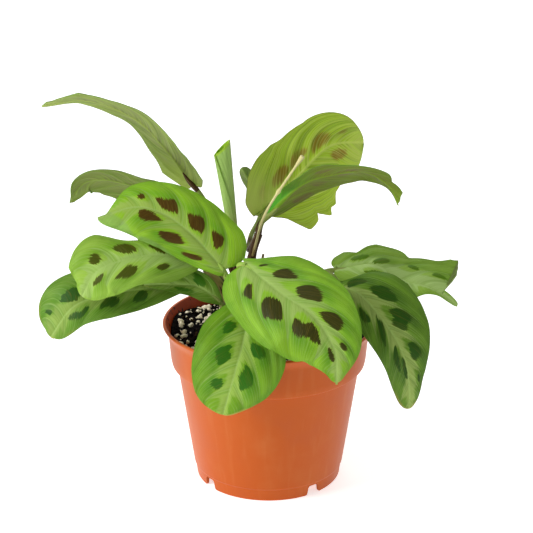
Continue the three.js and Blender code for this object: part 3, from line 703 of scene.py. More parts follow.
class StemSettings(bpy.types.PropertyGroup):
    """Colours of stems, sheaths and the dry flower stalk"""

    green: colour_setting("Green", "Young petiole", "#8a9c4c")
    fresh: colour_setting("Fresh", "Joint right under a blade", "#9cc050")
    brown: colour_setting("Brown", "Old stem and sheath", "#4c3218")
    strand: colour_setting("Strand", "Dry pale fibres", "#b49a62")
    straw: colour_setting("Straw", "Dry flower stalk", "#d8cf8e")


class LeafSettings(bpy.types.PropertyGroup):
    """Make of the leaf blades"""

    rows: IntProperty(name="Rows", description="Steps from base to tip", default=120, min=12)
    columns: IntProperty(name="Columns", description="Steps from midrib to margin", default=30, min=6)
    thickness: length_setting("Thickness", "Blade beside the midrib", 0.42)
    margin: length_setting("Margin", "Blade at its edge", 0.26)
    pucker: length_setting("Pucker", "Height of the blade between its main side veins", 1.0)
    sway: length_setting("Sway", "Height of the blade's slow unevenness", 0.35)
    groove: length_setting("Groove", "Depth of the groove over the midrib", 0.35)
    keel: length_setting("Keel", "Height of the midrib below the blade", 0.9)
    ripple: length_setting("Ripple", "Height of the small waves at the margin", 0.14)
    light_through: FloatProperty(name="Light through", description="Share of light let through", default=0.18)


class CoatSettings(bpy.types.PropertyGroup):
    """Each leaf's own colours, above and below"""

    __annotations__ = {
        f"{leaf}_{part}": colour_setting(f"{leaf} {part}", f"Colour of the {part} of {leaf}", code)
        for leaf, spec in LEAVES.items()
        for part, code in zip(COAT_PARTS + UNDER_PARTS, spec["coat"] + spec["under"])
    }


class StageSettings(bpy.types.PropertyGroup):
    """Camera and studio light"""

    distance: length_setting("Distance", "Camera to the plant", 850)
    target_height: length_setting("Target height", "Height of the middle of the picture", 112.9)
    target_side: length_setting("Target side", "Middle of the picture from the pot's axis", -1.0)
    elevation: FloatProperty(
        name="Elevation", description="Camera above the horizon", default=math.radians(20.5), subtype="ANGLE"
    )
    lens: FloatProperty(name="Lens", description="Focal length", default=113.88, unit="CAMERA")
    key_power: FloatProperty(name="Key", description="Large soft light at the left", default=13, unit="POWER")
    fill_power: FloatProperty(name="Fill", description="Soft light at the right", default=0.8, unit="POWER")
    back_power: FloatProperty(name="Back", description="Soft light behind and above", default=5, unit="POWER")
    surround: FloatProperty(name="Surround", description="Light of the white studio", default=0.33)


class PlantSettings(bpy.types.PropertyGroup):
    """All sizes and colours of the potted plant"""

    pot: PointerProperty(type=PotSettings)
    soil: PointerProperty(type=SoilSettings)
    stem: PointerProperty(type=StemSettings)
    leaf: PointerProperty(type=LeafSettings)
    coat: PointerProperty(type=CoatSettings)
    stage: PointerProperty(type=StageSettings)


# Curves and grids

def unit(vectors):
    return vectors / np.linalg.norm(vectors, axis=-1, keepdims=True)


def square_to(tangent, vectors):
    """Directions turned as little as possible so that they stand square to a tangent"""
    return unit(vectors - (vectors * tangent).sum(-1, keepdims=True) * tangent)


def through(keys, reach):
    """Points of a smooth curve through keys, at reach from 0 to the number of spans"""
    keys = np.asarray(keys, float)
    spans = len(keys) - 1
    ends = np.vstack([2 * keys[0] - keys[1], keys, 2 * keys[-1] - keys[-2]])
    low = np.clip(np.floor(reach).astype(int), 0, spans - 1)
    w = (reach - low)[:, None]
    before, start, end, after = (ends[low + k] for k in range(4))
    leave = (end - before) / 2
    arrive = (after - start) / 2
    cubic = 2 * start - 2 * end + leave + arrive
    square = 3 * end - 3 * start - 2 * leave - arrive
    return cubic * w**3 + square * w**2 + leave * w + start


class Curve:
    """A smooth curve through points, read by the length from its start"""

    STEPS = 400

    def __init__(self, keys):
        self.dense = through(keys, np.linspace(0, len(keys) - 1, self.STEPS))
        steps = np.linalg.norm(np.diff(self.dense, axis=0), axis=1)
        self.travel = np.concatenate([[0], np.cumsum(steps)])
        self.length = self.travel[-1]
        self.slope = unit(np.gradient(self.dense, axis=0))

    def read(self, values, lengths):
        return np.stack([np.interp(lengths, self.travel, values[:, k]) for k in range(3)], -1)

    def at(self, lengths):
        return self.read(self.dense, lengths)

    def heading(self, lengths):
        return unit(self.read(self.slope, lengths))


def keyed(values, t):
    """Values given at even steps from 0 to 1, eased between them"""
    values = np.asarray(values, float)
    if values.ndim == 1:
        values = values[:, None]
    if len(values) == 1:
        return np.repeat(values, len(t), 0)
    place = t * (len(values) - 1)
    low = np.minimum(place.astype(int), len(values) - 2)
    w = (place - low)[:, None]
    w = w * w * (3 - 2 * w)
    return values[low] * (1 - w) + values[low + 1] * w


def linked(name, data):
    """A new object in the scene"""
    thing = bpy.data.objects.new(name, data)
    bpy.context.scene.collection.objects.link(thing)
    return thing


class Piece:
    """Points, faces and painted fields of one piece, gathered before it becomes a mesh"""

    def __init__(self):
        self.points = []
        self.faces = []
        self.slots = []
        self.fields = {}
        self.count = 0

    def add(self, points, faces, material=0, **fields):
        """Adds a body in millimetres from the pot's axis. material is its place in the list of materials,
        or one for every face"""
        points = np.asarray(points, float)
        self.points.append(points)
        self.faces += [[corner + self.count for corner in face] for face in faces]
        self.slots += [material] * len(faces) if np.isscalar(material) else list(material)
        for name, values in fields.items():
            blank = np.zeros((self.count, 3))
            self.fields.setdefault(name, [blank] if self.count else []).append(np.asarray(values, float))
        self.count += len(points)
        for parts in self.fields.values():
            missing = self.count - sum(len(part) for part in parts)
            if missing:
                parts.append(np.zeros((missing, 3)))

    def mesh(self, name):
        """The gathered bodies as one mesh in metres"""
        mesh = bpy.data.meshes.new(name)
        places = np.vstack(self.points) * MM + POT_AXIS
        mesh.from_pydata(places.tolist(), [], self.faces)
        return mesh

    def finish(self, name, materials, slot, *nodes, crease=CREASE):
        """Makes the object, which rides on the part and stands for the nodes"""
        mesh = self.mesh(name)
        for material in materials:
            mesh.materials.append(material)
        mesh.polygons.foreach_set("material_index", self.slots)
        for field, parts in self.fields.items():
            layer = mesh.attributes.new(field, "FLOAT_VECTOR", "POINT")
            layer.data.foreach_set("vector", np.vstack(parts).astype(np.float32).ravel())
        mesh.shade_smooth()
        mesh.set_sharp_from_angle(angle=math.radians(crease))
        if mesh.validate():
            raise RuntimeError(f"{name} has broken faces")
        piece = linked(name, mesh)
        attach(piece, "root")
        if nodes:
            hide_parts(*nodes)
        return piece


def grid_faces(rows, columns, start=0, flipped=False):
    """Quads of a grid of points, seen from its front unless flipped"""
    faces = []
    for i in range(rows - 1):
        for j in range(columns - 1):
            a = start + i * columns + j
            quad = [a, a + 1, a + 1 + columns, a + columns]
            faces.append(quad[::-1] if flipped else quad)
    return faces


def sheet_faces(rows, columns):
    """Faces of a closed sheet: an upper grid, a lower grid and the strip round their edge"""
    under = rows * columns
    upper = grid_faces(rows, columns)
    lower = grid_faces(rows, columns, under, flipped=True)
    left = [i * columns for i in range(rows)]
    right = [i * columns + columns - 1 for i in range(rows)]
    foot = list(range(columns))
    top = [(rows - 1) * columns + j for j in range(columns)]
    outline = foot + right[1:] + top[::-1][1:] + left[::-1][1:-1]
    edge = [[b, a, a + under, b + under] for a, b in zip(outline, outline[1:] + outline[:1])]
    return upper, lower, edge


def circle(sides):
    """Points of a circle of radius 1"""
    turn = np.linspace(0, 2 * np.pi, sides, endpoint=False)
    return np.stack([np.cos(turn), np.sin(turn)], -1)


def closed_round(rings, start, end, flipped=False):
    """A closed body of rings of points, with one more point in the middle of its start and of its end"""
    sides = len(rings[0])
    last = (len(rings) - 1) * sides
    middle = last + sides
    faces = []
    for j in range(sides):
        k = (j + 1) % sides
        faces += [[middle, j, k], [middle + 1, last + k, last + j]]
        faces += [[a + j, a + sides + j, a + sides + k, a + k] for a in range(0, last, sides)]
    if flipped:
        faces = [[face[0], *face[:0:-1]] for face in faces]
    return np.vstack([*rings, [start], [end]]), faces


def tube(curve, start, end, radius, sides=STEM_SIDES, step=0.8):
    """A closed tube along part of a curve: its points, faces and skin field, which holds the circle and the
    length. radius takes the way from 0 to 1"""
    rings = max(4, int((end - start) / step))
    lengths = np.linspace(start, end, rings)
    centre = curve.at(lengths)
    tangent = curve.heading(lengths)
    side = np.zeros_like(tangent)
    side[0] = unit(np.cross(tangent[0], (0.31, 0.9, 0.2)))
    for i in range(1, rings):
        side[i] = square_to(tangent[i], side[i - 1])
    other = np.cross(tangent, side)
    reach = np.array([radius(w) for w in np.linspace(0, 1, rings)])
    across, up = circle(sides).T
    around = side[:, None] * across[None, :, None] + other[:, None] * up[None, :, None]
    points, faces = closed_round(centre[:, None] + around * reach[:, None, None], centre[0], centre[-1], True)
    skin = np.zeros((len(points), 3))
    skin[:-2, :2] = np.tile(circle(sides), (rings, 1))
    skin[:, 2] = [*np.repeat(lengths, sides), start, end]
    return points, faces, skin


# Leaf surfaces

def half_widths(widths, turn, teeth=(), tail=None):
    """Half width along the blade. A tooth is its place in degrees, its spread and its height in mm. A tail
    is the place in degrees past which the blade is only so wide, and tapers, and how far the broad part
    bows out in front of it"""
    stations = np.array([0, *widths, 0], float)[:, None]
    half = through(stations, turn / np.pi * (len(stations) - 1))[:, 0]
    degrees = np.degrees(turn)
    for place, spread, height in teeth:
        half = half + height * np.clip(1 - np.abs(degrees - place) / spread, 0, 1) ** TOOTH_POINT
    if tail:
        place, width, _ = tail
        left_over = np.clip((180 - degrees) / (180 - place), 0, 1)
        half = np.where(degrees > place, np.minimum(half, width * np.sqrt(left_over)), half)
    return np.maximum(half, NARROWEST_HALF)


def blade_grid(leaf, rows, columns):
    """The blade's middle surface: rows of points from base to tip, each from the left margin to the right"""
    rib = Curve(leaf["rib"])
    turn = np.linspace(0, np.pi, rows + 1)
    t = (1 - np.cos(turn)) / 2
    tangent = rib.heading(t * rib.length)
    normal = square_to(tangent, keyed(leaf["face"], t))
    right = np.cross(tangent, normal)
    centre = rib.at(t * rib.length)
    grid = np.zeros((rows + 1, 2 * columns + 1, 3))
    height, waves, phase = leaf["wave"]
    lobes = np.broadcast_to(leaf["lobe"], 2)
    halves = zip(*(leaf[part] for part in ("fold", "curl", "teeth", "roll", "tail")))
    for side, name, lobe, half_form in zip((-1, 1), ("left", "right"), lobes, halves):
        fold, curl, teeth, roll, tail = half_form
        half = half_widths(leaf[name], turn, teeth, tail)
        fold = np.radians(keyed(fold, t)[:, 0])
        curl = np.radians(keyed(curl, t)[:, 0])
        curl = np.where(np.abs(curl) < 1e-3, 1e-3, curl)
        lag = WAVE_LAG if side > 0 else 0
        for j, s in enumerate(np.linspace(0, 1, columns + 1)):
            across = (np.sin(fold + curl * s) - np.sin(fold)) / curl * half
            lift = (np.cos(fold) - np.cos(fold + curl * s)) / curl * half
            sweep = lobe * s**1.5 * (turn / LOBE_ANGLE) * np.exp(1 - turn / LOBE_ANGLE)
            if tail and s > TAIL_SHARE:
                short = tail[0] - np.degrees(turn)
                bow = tail[2] * math.sin(math.pi * (s - TAIL_SHARE) / (1 - TAIL_SHARE))
                sweep -= np.where(short > 0, bow * np.exp(-((short / BOW_SPREAD) ** 2)), 0)
            wave = height * s * s * np.sin(2 * np.pi * waves * t + phase + lag) * np.sin(turn)
            wave -= roll * np.sin(turn) ** 0.5 * max(0, (s - ROLL_START) / (1 - ROLL_START)) ** 1.5
            offset = right * (side * across)[:, None] + normal * (lift + wave)[:, None]
            grid[:, columns + side * j] = centre + offset - tangent * sweep[:, None]
    return grid, t, rib.length


def softened(corners):
    """Corners of an outline cut off twice, so that it turns in small bends"""
    outline = np.array(corners, float)
    for _ in range(2):
        following = np.roll(outline, -1, axis=0)
        quarters = [(1 - w) * outline + w * following for w in (0.25, 0.75)]
        outline = np.stack(quarters, 1).reshape(-1, 2)
    return outline


def outline_depth(start, out, outline):
    """Distance inside an outline, less than nothing outside it, and how squarely its nearest side lies
    across the veins"""
    nearest = np.full(start.shape, 1e9)
    across = np.zeros(start.shape)
    inside = np.zeros(start.shape, bool)
    for (x0, y0), (x1, y1) in zip(outline, np.roll(outline, -1, axis=0)):
        dx, dy = x1 - x0, y1 - y0
        size = max(dx * dx + dy * dy, 1e-9)
        share = np.clip(((start - x0) * dx + (out - y0) * dy) / size, 0, 1)
        gap = np.hypot(start - x0 - share * dx, out - y0 - share * dy)
        across = np.where(gap < nearest, abs(dx) / math.sqrt(size), across)
        nearest = np.minimum(nearest, gap)
        if y0 != y1:
            inside ^= ((out < y0) != (out < y1)) & (start < x0 + (out - y0) * dx / dy)
    return np.where(inside, nearest, -nearest), across


def blotch_depth(start, out, blotches):
    """How deep each point lies inside the nearest blotch, in mm, how far its ends may fray there, and the
    dark green that spreads outwards from the blotch"""
    depth = np.full(start.shape, FAR_OUTSIDE)
    fray = np.zeros(start.shape)
    halo = np.zeros(start.shape)
    for corners in blotches:
        outline = softened(corners)
        inside, across = outline_depth(start, out, outline)
        size = outline.max(axis=0) - outline.min(axis=0)
        fray = np.where(inside > depth, across * min(1, size[1] / FULL_FRAY), fray)
        depth = np.maximum(depth, inside)
        outer = np.clip((out - outline[:, 1].mean()) / (0.4 * size[1]), 0, 1)
        halo = np.maximum(halo, outer * np.exp(-((np.minimum(inside, 0) / HALO_REACH) ** 2)))
    return depth, fray, halo


def vein_phase(vein, blotches, lean, length):
    """Counts the main side veins, which run between the blotches: whole numbers on the veins"""
    spans = []
    for corners in blotches:
        places = [place - lean * out for place, out in corners]
        spans.append((min(places), max(places)))
    spans.sort()
    gaps = [(a[1] + b[0]) / 2 for a, b in zip(spans, spans[1:]) if b[0] - a[1] > -2]
    first = max(spans[0][0] - END_VEIN_GAP, -END_VEIN_ROOM)
    final = min(spans[-1][1] + END_VEIN_GAP, length - END_VEIN_ROOM)
    places = np.array([first, *gaps, final])
    places = np.maximum.accumulate(places + np.arange(len(places)) * 1e-3)
    phase = np.interp(vein, places, np.arange(len(places)))
    spacing = np.diff(places).mean()
    short = np.maximum((vein - places[0]) / spacing, -END_SPACE)
    past = len(places) - 1 + np.minimum((vein - places[-1]) / spacing, END_SPACE)
    phase = np.where(vein < places[0], short, phase)
    return np.where(vein > places[-1], past, phase), spacing


def half_fields(start, out, reach, swept, length, blotches, lean):
    """The fields that follow one half's own veins and blotches"""
    vein = start - lean * out - swept
    phase, spacing = vein_phase(vein, blotches, lean, length)
    near_vein = (1 + np.cos(2 * np.pi * phase)) / 2
    inner_ends = []
    for corners in blotches:
        inner_ends.append((np.mean([place for place, _ in corners]), min(away for _, away in corners)))
    spine = np.interp(start, *zip(*sorted(inner_ends))) - SPINE_GAP
    spine = np.clip(spine, SPINE_LEAST, 0.3 * reach + 1)
    pale_reach = spine + np.maximum(FEATHER_REACH * reach - spine, 0) * near_vein**FEATHER_POINT
    feather = np.clip((pale_reach - out) / FEATHER_SOFT + 0.5, 0, 1)
    return *blotch_depth(start, out, blotches), phase, spacing, feather, vein


def stacked(*parts):
    """Three values for every point, as one painted field"""
    return np.stack(parts, -1).reshape(-1, 3)


def blade_fields(leaf, grid, t, length, seed):
    """The painted fields of the blade and its relief, worked out from the leaf's own side veins"""
    columns = (grid.shape[1] - 1) // 2
    steps = np.linalg.norm(np.diff(grid, axis=1), axis=2)
    across = np.concatenate([np.zeros((len(grid), 1)), np.cumsum(steps, axis=1)], axis=1)
    across -= across[:, columns : columns + 1]
    out = np.abs(across)
    down = np.repeat(t[:, None], grid.shape[1], axis=1)
    along = down * length
    widest = max(leaf["left"] + leaf["right"])
    share = out / widest
    start = along - widest * (VEIN_LEAN * share + VEIN_BEND * share**2)
    reach = np.where(across < 0, out[:, :1], out[:, -1:])
    s = out / np.maximum(reach, 1e-6)
    swept = MARGIN_SWEEP * reach * s**6
    own = zip(leaf["blotches"], leaf["lean"])
    halves = [half_fields(start, out, reach, swept, length, blotches, lean) for blotches, lean in own]
    both = [np.where(across < 0, left, right) for left, right in zip(*halves)]
    depth, fray, halo, phase, spacing, feather, vein = both
    turned_shade = np.zeros_like(out)
    # Painted shade of the turned-down margin: the left half beyond a breadth that narrows to the tip, and
    # both halves past the given place
    if "turned_shade" in leaf:
        breadth, near, far = leaf["turned_shade"]
        inner_edge = breadth * np.clip((far - start) / (far - near), 0, 1.2)
        turned_shade = np.where(across < 0, np.clip(out - inner_edge, 0, 1), np.clip(start - far, 0, 1))
        turned_shade = np.where(start > TURNED_SHADE_FROM, turned_shade, 0)
    fields = {
        "vein": stacked(vein, across, np.full_like(out, NOISE_SHIFT * seed)),
        "marks": stacked(depth, fray, feather),
        "form": stacked(reach - out, out, down),
        "lines": stacked(phase, s, spacing),
        "tone": stacked(halo, np.sign(across), turned_shade),
    }
    settings = bpy.context.scene.prayer_plant.leaf
    swell = np.sin(np.pi * np.clip(s, 0, 1)) ** 0.7 * np.clip(reach / FULL_SWELL, 0, 1)
    bulge = np.abs(np.sin(np.pi * phase)) ** 0.8 - 0.55
    relief = settings.pucker / MM * bulge * swell
    lengthwise = np.sin(along / SWAY_LENGTHS[0] + seed)
    crosswise = np.sin(across / SWAY_LENGTHS[1] + 2 * seed)
    relief += settings.sway / MM * lengthwise * crosswise * swell
    ripple = np.sin(along / RIPPLE_LENGTHS[0] + seed)
    ripple += 0.6 * np.sin(along / RIPPLE_LENGTHS[1] + 2 * seed + across.clip(-1, 1))
    relief += settings.ripple / MM * leaf["ripple"] * s**3 * ripple * np.sin(np.pi * down) ** 0.5
    return fields, relief, out, s


def stalk_curve(leaf):
    """Petiole and pulvinus share one curve, which runs on under the blade's base"""
    trunk = SHOOTS[leaf["shoot"]]["trunk"][-1]
    rib = Curve(leaf["rib"])
    normal = square_to(rib.heading(np.zeros(1)), np.array([leaf["face"][0]], float))[0]
    under = rib.at(np.array([0, BLADE_HOLD])) - PULVINUS_SINK * normal
    return Curve([trunk, *leaf["petiole"], *under])


def pulvinus(leaf):
    """The swollen joint under the blade, drawn out into the midrib"""
    curve = stalk_curve(leaf)
    end = curve.length

    def radius(w):
        swelling = 0.86 + 0.14 * math.sin(math.pi * min(1, 1.8 * w))
        slimming = 1 - 0.75 * max(0, (w - 0.5) / 0.5) ** 1.5
        return PULVINUS_RADIUS * swelling * slimming

    return tube(curve, end - BLADE_HOLD - PULVINUS_LENGTH, end, radius)


def leaf_piece(leaf, seed):
    """One leaf: a thin blade with relief on both faces, and its pulvinus"""
    settings = bpy.context.scene.prayer_plant.leaf
    grid, t, length = blade_grid(leaf, settings.rows, settings.columns)
    fields, relief, out, s = blade_fields(leaf, grid, t, length, seed)
    normal = unit(np.cross(np.gradient(grid, axis=1), np.gradient(grid, axis=0)))
    thin = settings.thickness / MM + (settings.margin - settings.thickness) / MM * s**2
    rib = np.exp(-((out / MIDRIB_WIDTH) ** 2))
    groove = settings.groove / MM * rib * (1 - 0.5 * t)[:, None]
    keel = (settings.keel / MM * (1 - t)[:, None] + 0.15) * rib
    upper = grid + normal * (relief + thin / 2 - groove)[..., None]
    lower = grid + normal * (relief - thin / 2 - keel)[..., None]
    tops, bottoms, edge = sheet_faces(*out.shape)
    skins = [0] * len(tops) + [1] * len(bottoms) + [0] * len(edge)
    doubled = {field: np.vstack([values, values]) for field, values in fields.items()}
    piece = Piece()
    points = np.vstack([upper.reshape(-1, 3), lower.reshape(-1, 3)])
    piece.add(points, tops + bottoms + edge, skins, **doubled)
    joint, faces, skin = pulvinus(leaf)
    piece.add(joint, faces, 2, skin=skin, stem=stem_state(joint, leaf["joint_age"], 0, seed))
    return piece


# Materials

def add(tree, kind, links=None, **settings):
    """Adds a node with its settings and its inputs, each a value or another node's output"""
    node = tree.nodes.new(kind)
    for name, value in settings.items():
        setattr(node, name, value)
    for socket, source in (links or {}).items():
        if isinstance(source, bpy.types.NodeSocket):
            tree.links.new(source, node.inputs[socket])
        else:
            node.inputs[socket].default_value = source
    return node.outputs


# A colour mix node's inputs and output by number, because its names repeat
FACTOR, FIRST, SECOND, MIXED = 0, 6, 7, 2

# What the leaf materials share: colours of ribs and of light let through, the cuticle, and the depth in
# metres and strength of the fine relief
PALE_RIB = "#b4d474"
YELLOW_GLOW = "#a8cc3a"
CUTICLE = {"IOR": 1.45, "Specular IOR Level": 0.22}
BLADE_RELIEF = (0.0003, 0.9)


def new_material(name):
    """An empty node material"""
    material = bpy.data.materials.new(name)
    material.use_nodes = True
    material.node_tree.nodes.clear()
    return material, material.node_tree


def painted(tree, field):
    """A painted field as a vector, and its three values"""
    vector = add(tree, "ShaderNodeAttribute", attribute_name=field)["Vector"]
    return vector, *add(tree, "ShaderNodeSeparateXYZ", {0: vector})


def grain(tree, place, stretch, detail, roughness=0.5):
    """Noise over a place, with how often it changes per unit of the place, in all or in each direction"""
    stretch = (stretch,) * 3 if isinstance(stretch, int) else stretch
    scaled = add(tree, "ShaderNodeVectorMath", {0: place, 1: stretch}, operation="MULTIPLY")[0]
    noise_form = {"Vector": scaled, "Scale": 1.0, "Detail": detail, "Roughness": roughness}
    return add(tree, "ShaderNodeTexNoise", noise_form)[0]


def worked(tree, value, *steps):
    """A value taken through steps of arithmetic, each an operation and the other values that it takes"""
    for operation, *others in steps:
        value = add(tree, "ShaderNodeMath", dict(enumerate([value, *others])), operation=operation)[0]
    return value


def cover(tree, factors):
    """The product of factors. One in brackets is a value eased from 0 at its first limit to 1, or to the
    number behind them, at its second"""
    shares = []
    for factor in factors:
        if isinstance(factor, tuple):
            eased = dict(zip(("Value", "From Min", "From Max", "To Max"), factor))
            factor = add(tree, "ShaderNodeMapRange", eased, interpolation_type="SMOOTHSTEP")[0]
        shares.append(factor)
    return worked(tree, shares[0], *(("MULTIPLY", share) for share in shares[1:]))


def paint(colour):
    """A hex code, a linear colour or another node's output as a colour socket takes it"""
    if isinstance(colour, bpy.types.NodeSocket):
        return colour
    return (*(linear(colour) if isinstance(colour, str) else colour), 1.0)


def layered(tree, ground, layers):
    """A ground colour with paints laid over it, each followed by the factors of its cover"""
    colour = paint(ground)
    for top, *factors in layers:
        links = {FACTOR: cover(tree, factors), FIRST: colour, SECOND: paint(top)}
        colour = add(tree, "ShaderNodeMix", links, data_type="RGBA")[MIXED]
    return colour


def surfaced(tree, colour, relief, make, glow=None, let_through=0):
    """Ends a material with its colour, the height, depth in metres and strength of its fine relief, and its
    make. glow is the colour of the light that it lets through"""
    links = {"Base Color": colour, **make}
    if relief:
        bump = dict(zip(("Height", "Distance", "Strength"), relief))
        links["Normal"] = add(tree, "ShaderNodeBump", bump)[0]
    surface = add(tree, "ShaderNodeBsdfPrincipled", links)[0]
    if glow is not None:
        lit = add(tree, "ShaderNodeBsdfTranslucent", {"Color": glow, "Normal": links["Normal"]})[0]
        surface = add(tree, "ShaderNodeMixShader", {0: let_through, 1: surface, 2: lit})[0]
    add(tree, "ShaderNodeOutputMaterial", {"Surface": surface})


def blade_marks(tree, fraying):
    """What both faces share: the fine and coarse grain along the veins, the broad one, the depth inside the
    frayed blotches, and the distances from the main side veins and the thin ribs"""
    vein, vein_place, _, _ = painted(tree, "vein")
    fine, coarse, broad = (grain(tree, vein, (*changes, 1), detail, 0.6) for *changes, detail in VEIN_GRAINS)
    _, depth, fray, _ = painted(tree, "marks")
    _, phase, _, spacing = painted(tree, "lines")
    edge = worked(tree, fine, ("SUBTRACT", 0.5), ("MULTIPLY", fray), ("MULTIPLY_ADD", fraying, depth))
    from_vein = worked(tree, phase, ("ABSOLUTE",), ("PINGPONG", 0.5), ("MULTIPLY", spacing))
    strand = worked(tree, broad, ("MULTIPLY_ADD", 2.5, vein_place))
    from_rib = worked(tree, strand, ("ABSOLUTE",), ("PINGPONG", RIB_SPACING / 2))
    return fine, coarse, broad, edge, from_vein, from_rib


def leaf_upper(name, leaf):
    """Living leaf with a waxy cuticle: feathered in pale green, blotched dark, with fine ribs along its
    veins. The eye knows a maranta by these marks"""
    settings = bpy.context.scene.prayer_plant
    blade, feather, shade, blotch = (getattr(settings.coat, f"{name}_{part}") for part in COAT_PARTS)
    material, tree = new_material(f"maranta_leaf_upper_{name}")
    fine, coarse, broad, edge, from_vein, from_rib = blade_marks(tree, 4.0)
    feather_mark = painted(tree, "marks")[3]
    s = painted(tree, "lines")[2]
    _, margin, out, tip = painted(tree, "form")
    _, halo, _, turned_shade = painted(tree, "tone")
    cloud = grain(tree, add(tree, "ShaderNodeTexCoord")["Object"], 90, 4)
    feathered = worked(tree, broad, ("SUBTRACT", 0.5), ("MULTIPLY_ADD", 1.1, feather_mark))
    streaked = layered(tree, blotch, [("#86742a", (fine, 0.5, 0.72, 0.35))])
    inland = (s, 0.95, 0.6)
    paints = [
        (shade, (cloud, 0.45, 0.7, 0.4)),
        (shade, (margin, 4.5, 0.5, 0.45)),
        (feather, (feathered, 0.2, 0.8)),
        (shade, halo, (broad, 0.05, 0.5)),
        (shade, (coarse, 0.52, 0.75, 0.3)),
        (PALE_RIB, (coarse, 0.46, 0.25, 0.16)),
        (shade, (fine, 0.52, 0.75, 0.2)),
        (PALE_RIB, (fine, 0.48, 0.25, 0.12)),
        (PALE_RIB, (from_rib, 0.45, 0.1, 0.16)),
        (shade, (from_vein, 1.7, 0.5, 0.35), inland),
        (PALE_RIB, (from_vein, 0.55, 0.1, 0.4), inland),
        (PALE_RIB, (out, 0.65, 0.3, 0.5)),
        # Painted shade: a duller green where the margin turns down and towards the tip
        ("#8fb268", turned_shade, 0.5),
        (streaked, (edge, -0.2, 0.25)),
        (shade, (margin, 0.5, 0.15, 0.35)),
        ("#cdb45a", (tip, 0.8, 1.0), (margin, 2.0, 0.2), (cloud, 0.42, 0.6, leaf["worn"])),
    ]
    colour = layered(tree, blade, paints)
    glow = layered(tree, colour, [("#b8d840", 0.35)])
    gloss = add(tree, "ShaderNodeMapRange", {"Value": broad, "To Min": 0.34, "To Max": 0.5})[0]
    let_through = leaf.get("through", settings.leaf.light_through)
    surfaced(tree, colour, (fine, *BLADE_RELIEF), {"Roughness": gloss, **CUTICLE}, glow, let_through)
    return material


def leaf_under(name, leaf):
    """Underside of the blade: matt grey green with a purple flush along the midrib and raised side veins,
    which tell it from the glossy upper face"""
    settings = bpy.context.scene.prayer_plant
    body, flush, bright = (getattr(settings.coat, f"{name}_{part}") for part in UNDER_PARTS)
    shade = getattr(settings.coat, f"{name}_shade")
    smeared, flushed = leaf["blush"]
    material, tree = new_material(f"maranta_leaf_under_{name}")
    fine, coarse, broad, edge, from_vein, from_rib = blade_marks(tree, 7.0)
    s = painted(tree, "lines")[2]
    _, margin, out, tip = painted(tree, "form")
    side = painted(tree, "tone")[2]
    paints = [
        (flush, (s, 0.9, 0.1), (broad, 0.35, 0.65, flushed)),
        (flush, (edge, -0.7, 0.9, smeared)),
        (shade, (broad, 0.5, 0.66, 0.35)),
        (bright, (coarse, 0.48, 0.3, 0.5)),
        (shade, (coarse, 0.53, 0.7, 0.3)),
        (bright, (fine, 0.5, 0.32, 0.4)),
        (flush, (fine, 0.53, 0.7, 0.25)),
        (bright, (from_rib, 0.45, 0.1, 0.35)),
        (bright, (from_vein, 0.8, 0.2, 0.45)),
        (leaf.get("base_tint", bright), (tip, leaf["fresh_base"], 0.02, 0.9), (side, -0.2, 0.2)),
        (bright, (tip, 0.8, 1.0, 0.5)),
        (bright, (out, 0.9, 0.4, 0.7)),
        (flush, (margin, 0.5, 0.1, 0.4)),
    ]
    colour = layered(tree, body, paints)
    glow = layered(tree, colour, [(YELLOW_GLOW, 0.3)])
    let_through = leaf.get("through", settings.leaf.light_through)
    surfaced(tree, colour, (fine, *BLADE_RELIEF), {"Roughness": 0.6, **CUTICLE}, glow, let_through)
    return material


def rolled_skin():
    """Unopened leaf, waxy: pale green with long ribs, and inside the roll a bright yellow green, painted
    light where the roll shades itself
    """
    material, tree = new_material("maranta_leaf_rolled")
    rib = grain(tree, painted(tree, "vein")[0], (1.6, 0.07, 1), 3)
    _, height, inner, flush = painted(tree, "form")
    paints = [
        ("#c6d678", (height, 0.4, 0.0, 0.8)),
        ("#88ae52", (rib, 0.5, 0.75, 0.5)),
        ("#d2ec98", (rib, 0.5, 0.25, 0.4)),
        ("#b4dc3c", (height, 0.955, 0.99)),
        ("#85725c", (flush, 0.3, 1.0, 0.6)),
        # Painted light: a bright yellow green over the inside of the roll, where the roll shades it
        ("#b4dc34", inner),
    ]
    colour = layered(tree, "#b6da76", paints)
    glow = layered(tree, colour, [(YELLOW_GLOW, 0.3)])
    surfaced(tree, colour, (rib, *BLADE_RELIEF), {"Roughness": 0.5, **CUTICLE}, glow, 0.3)
    return material


def petiole_skin():
    """Ribbed living stem: green where young, flushed brown purple below, with pale dry strands. The stems
    and all pulvini share it"""
    name = "maranta_petiole_ribbed"
    if name in bpy.data.materials:
        return bpy.data.materials[name]
    stem = bpy.context.scene.prayer_plant.stem
    material, tree = new_material(name)
    skin = painted(tree, "skin")[0]
    fibre = grain(tree, skin, (3.2, 3.2, 0.10), 3)
    patch = grain(tree, skin, (0.8, 0.8, 0.22), 2)
    _, age, dry, _ = painted(tree, "stem")
    paints = [
        (stem.fresh, (age, -0.1, -0.5)),
        (stem.brown, (worked(tree, patch, ("MULTIPLY_ADD", 0.7, age)), 0.45, 0.9)),
        (stem.strand, (worked(tree, fibre, ("ADD", dry)), 0.58, 0.72, 0.75)),
        ("#2c1c17", (fibre, 0.46, 0.3, 0.45)),
    ]
    make = {"Roughness": 0.55, "IOR": 1.45, "Specular IOR Level": 0.25}
    surfaced(tree, layered(tree, stem.green, paints), (fibre, 0.0003, 0.7), make)
    return material


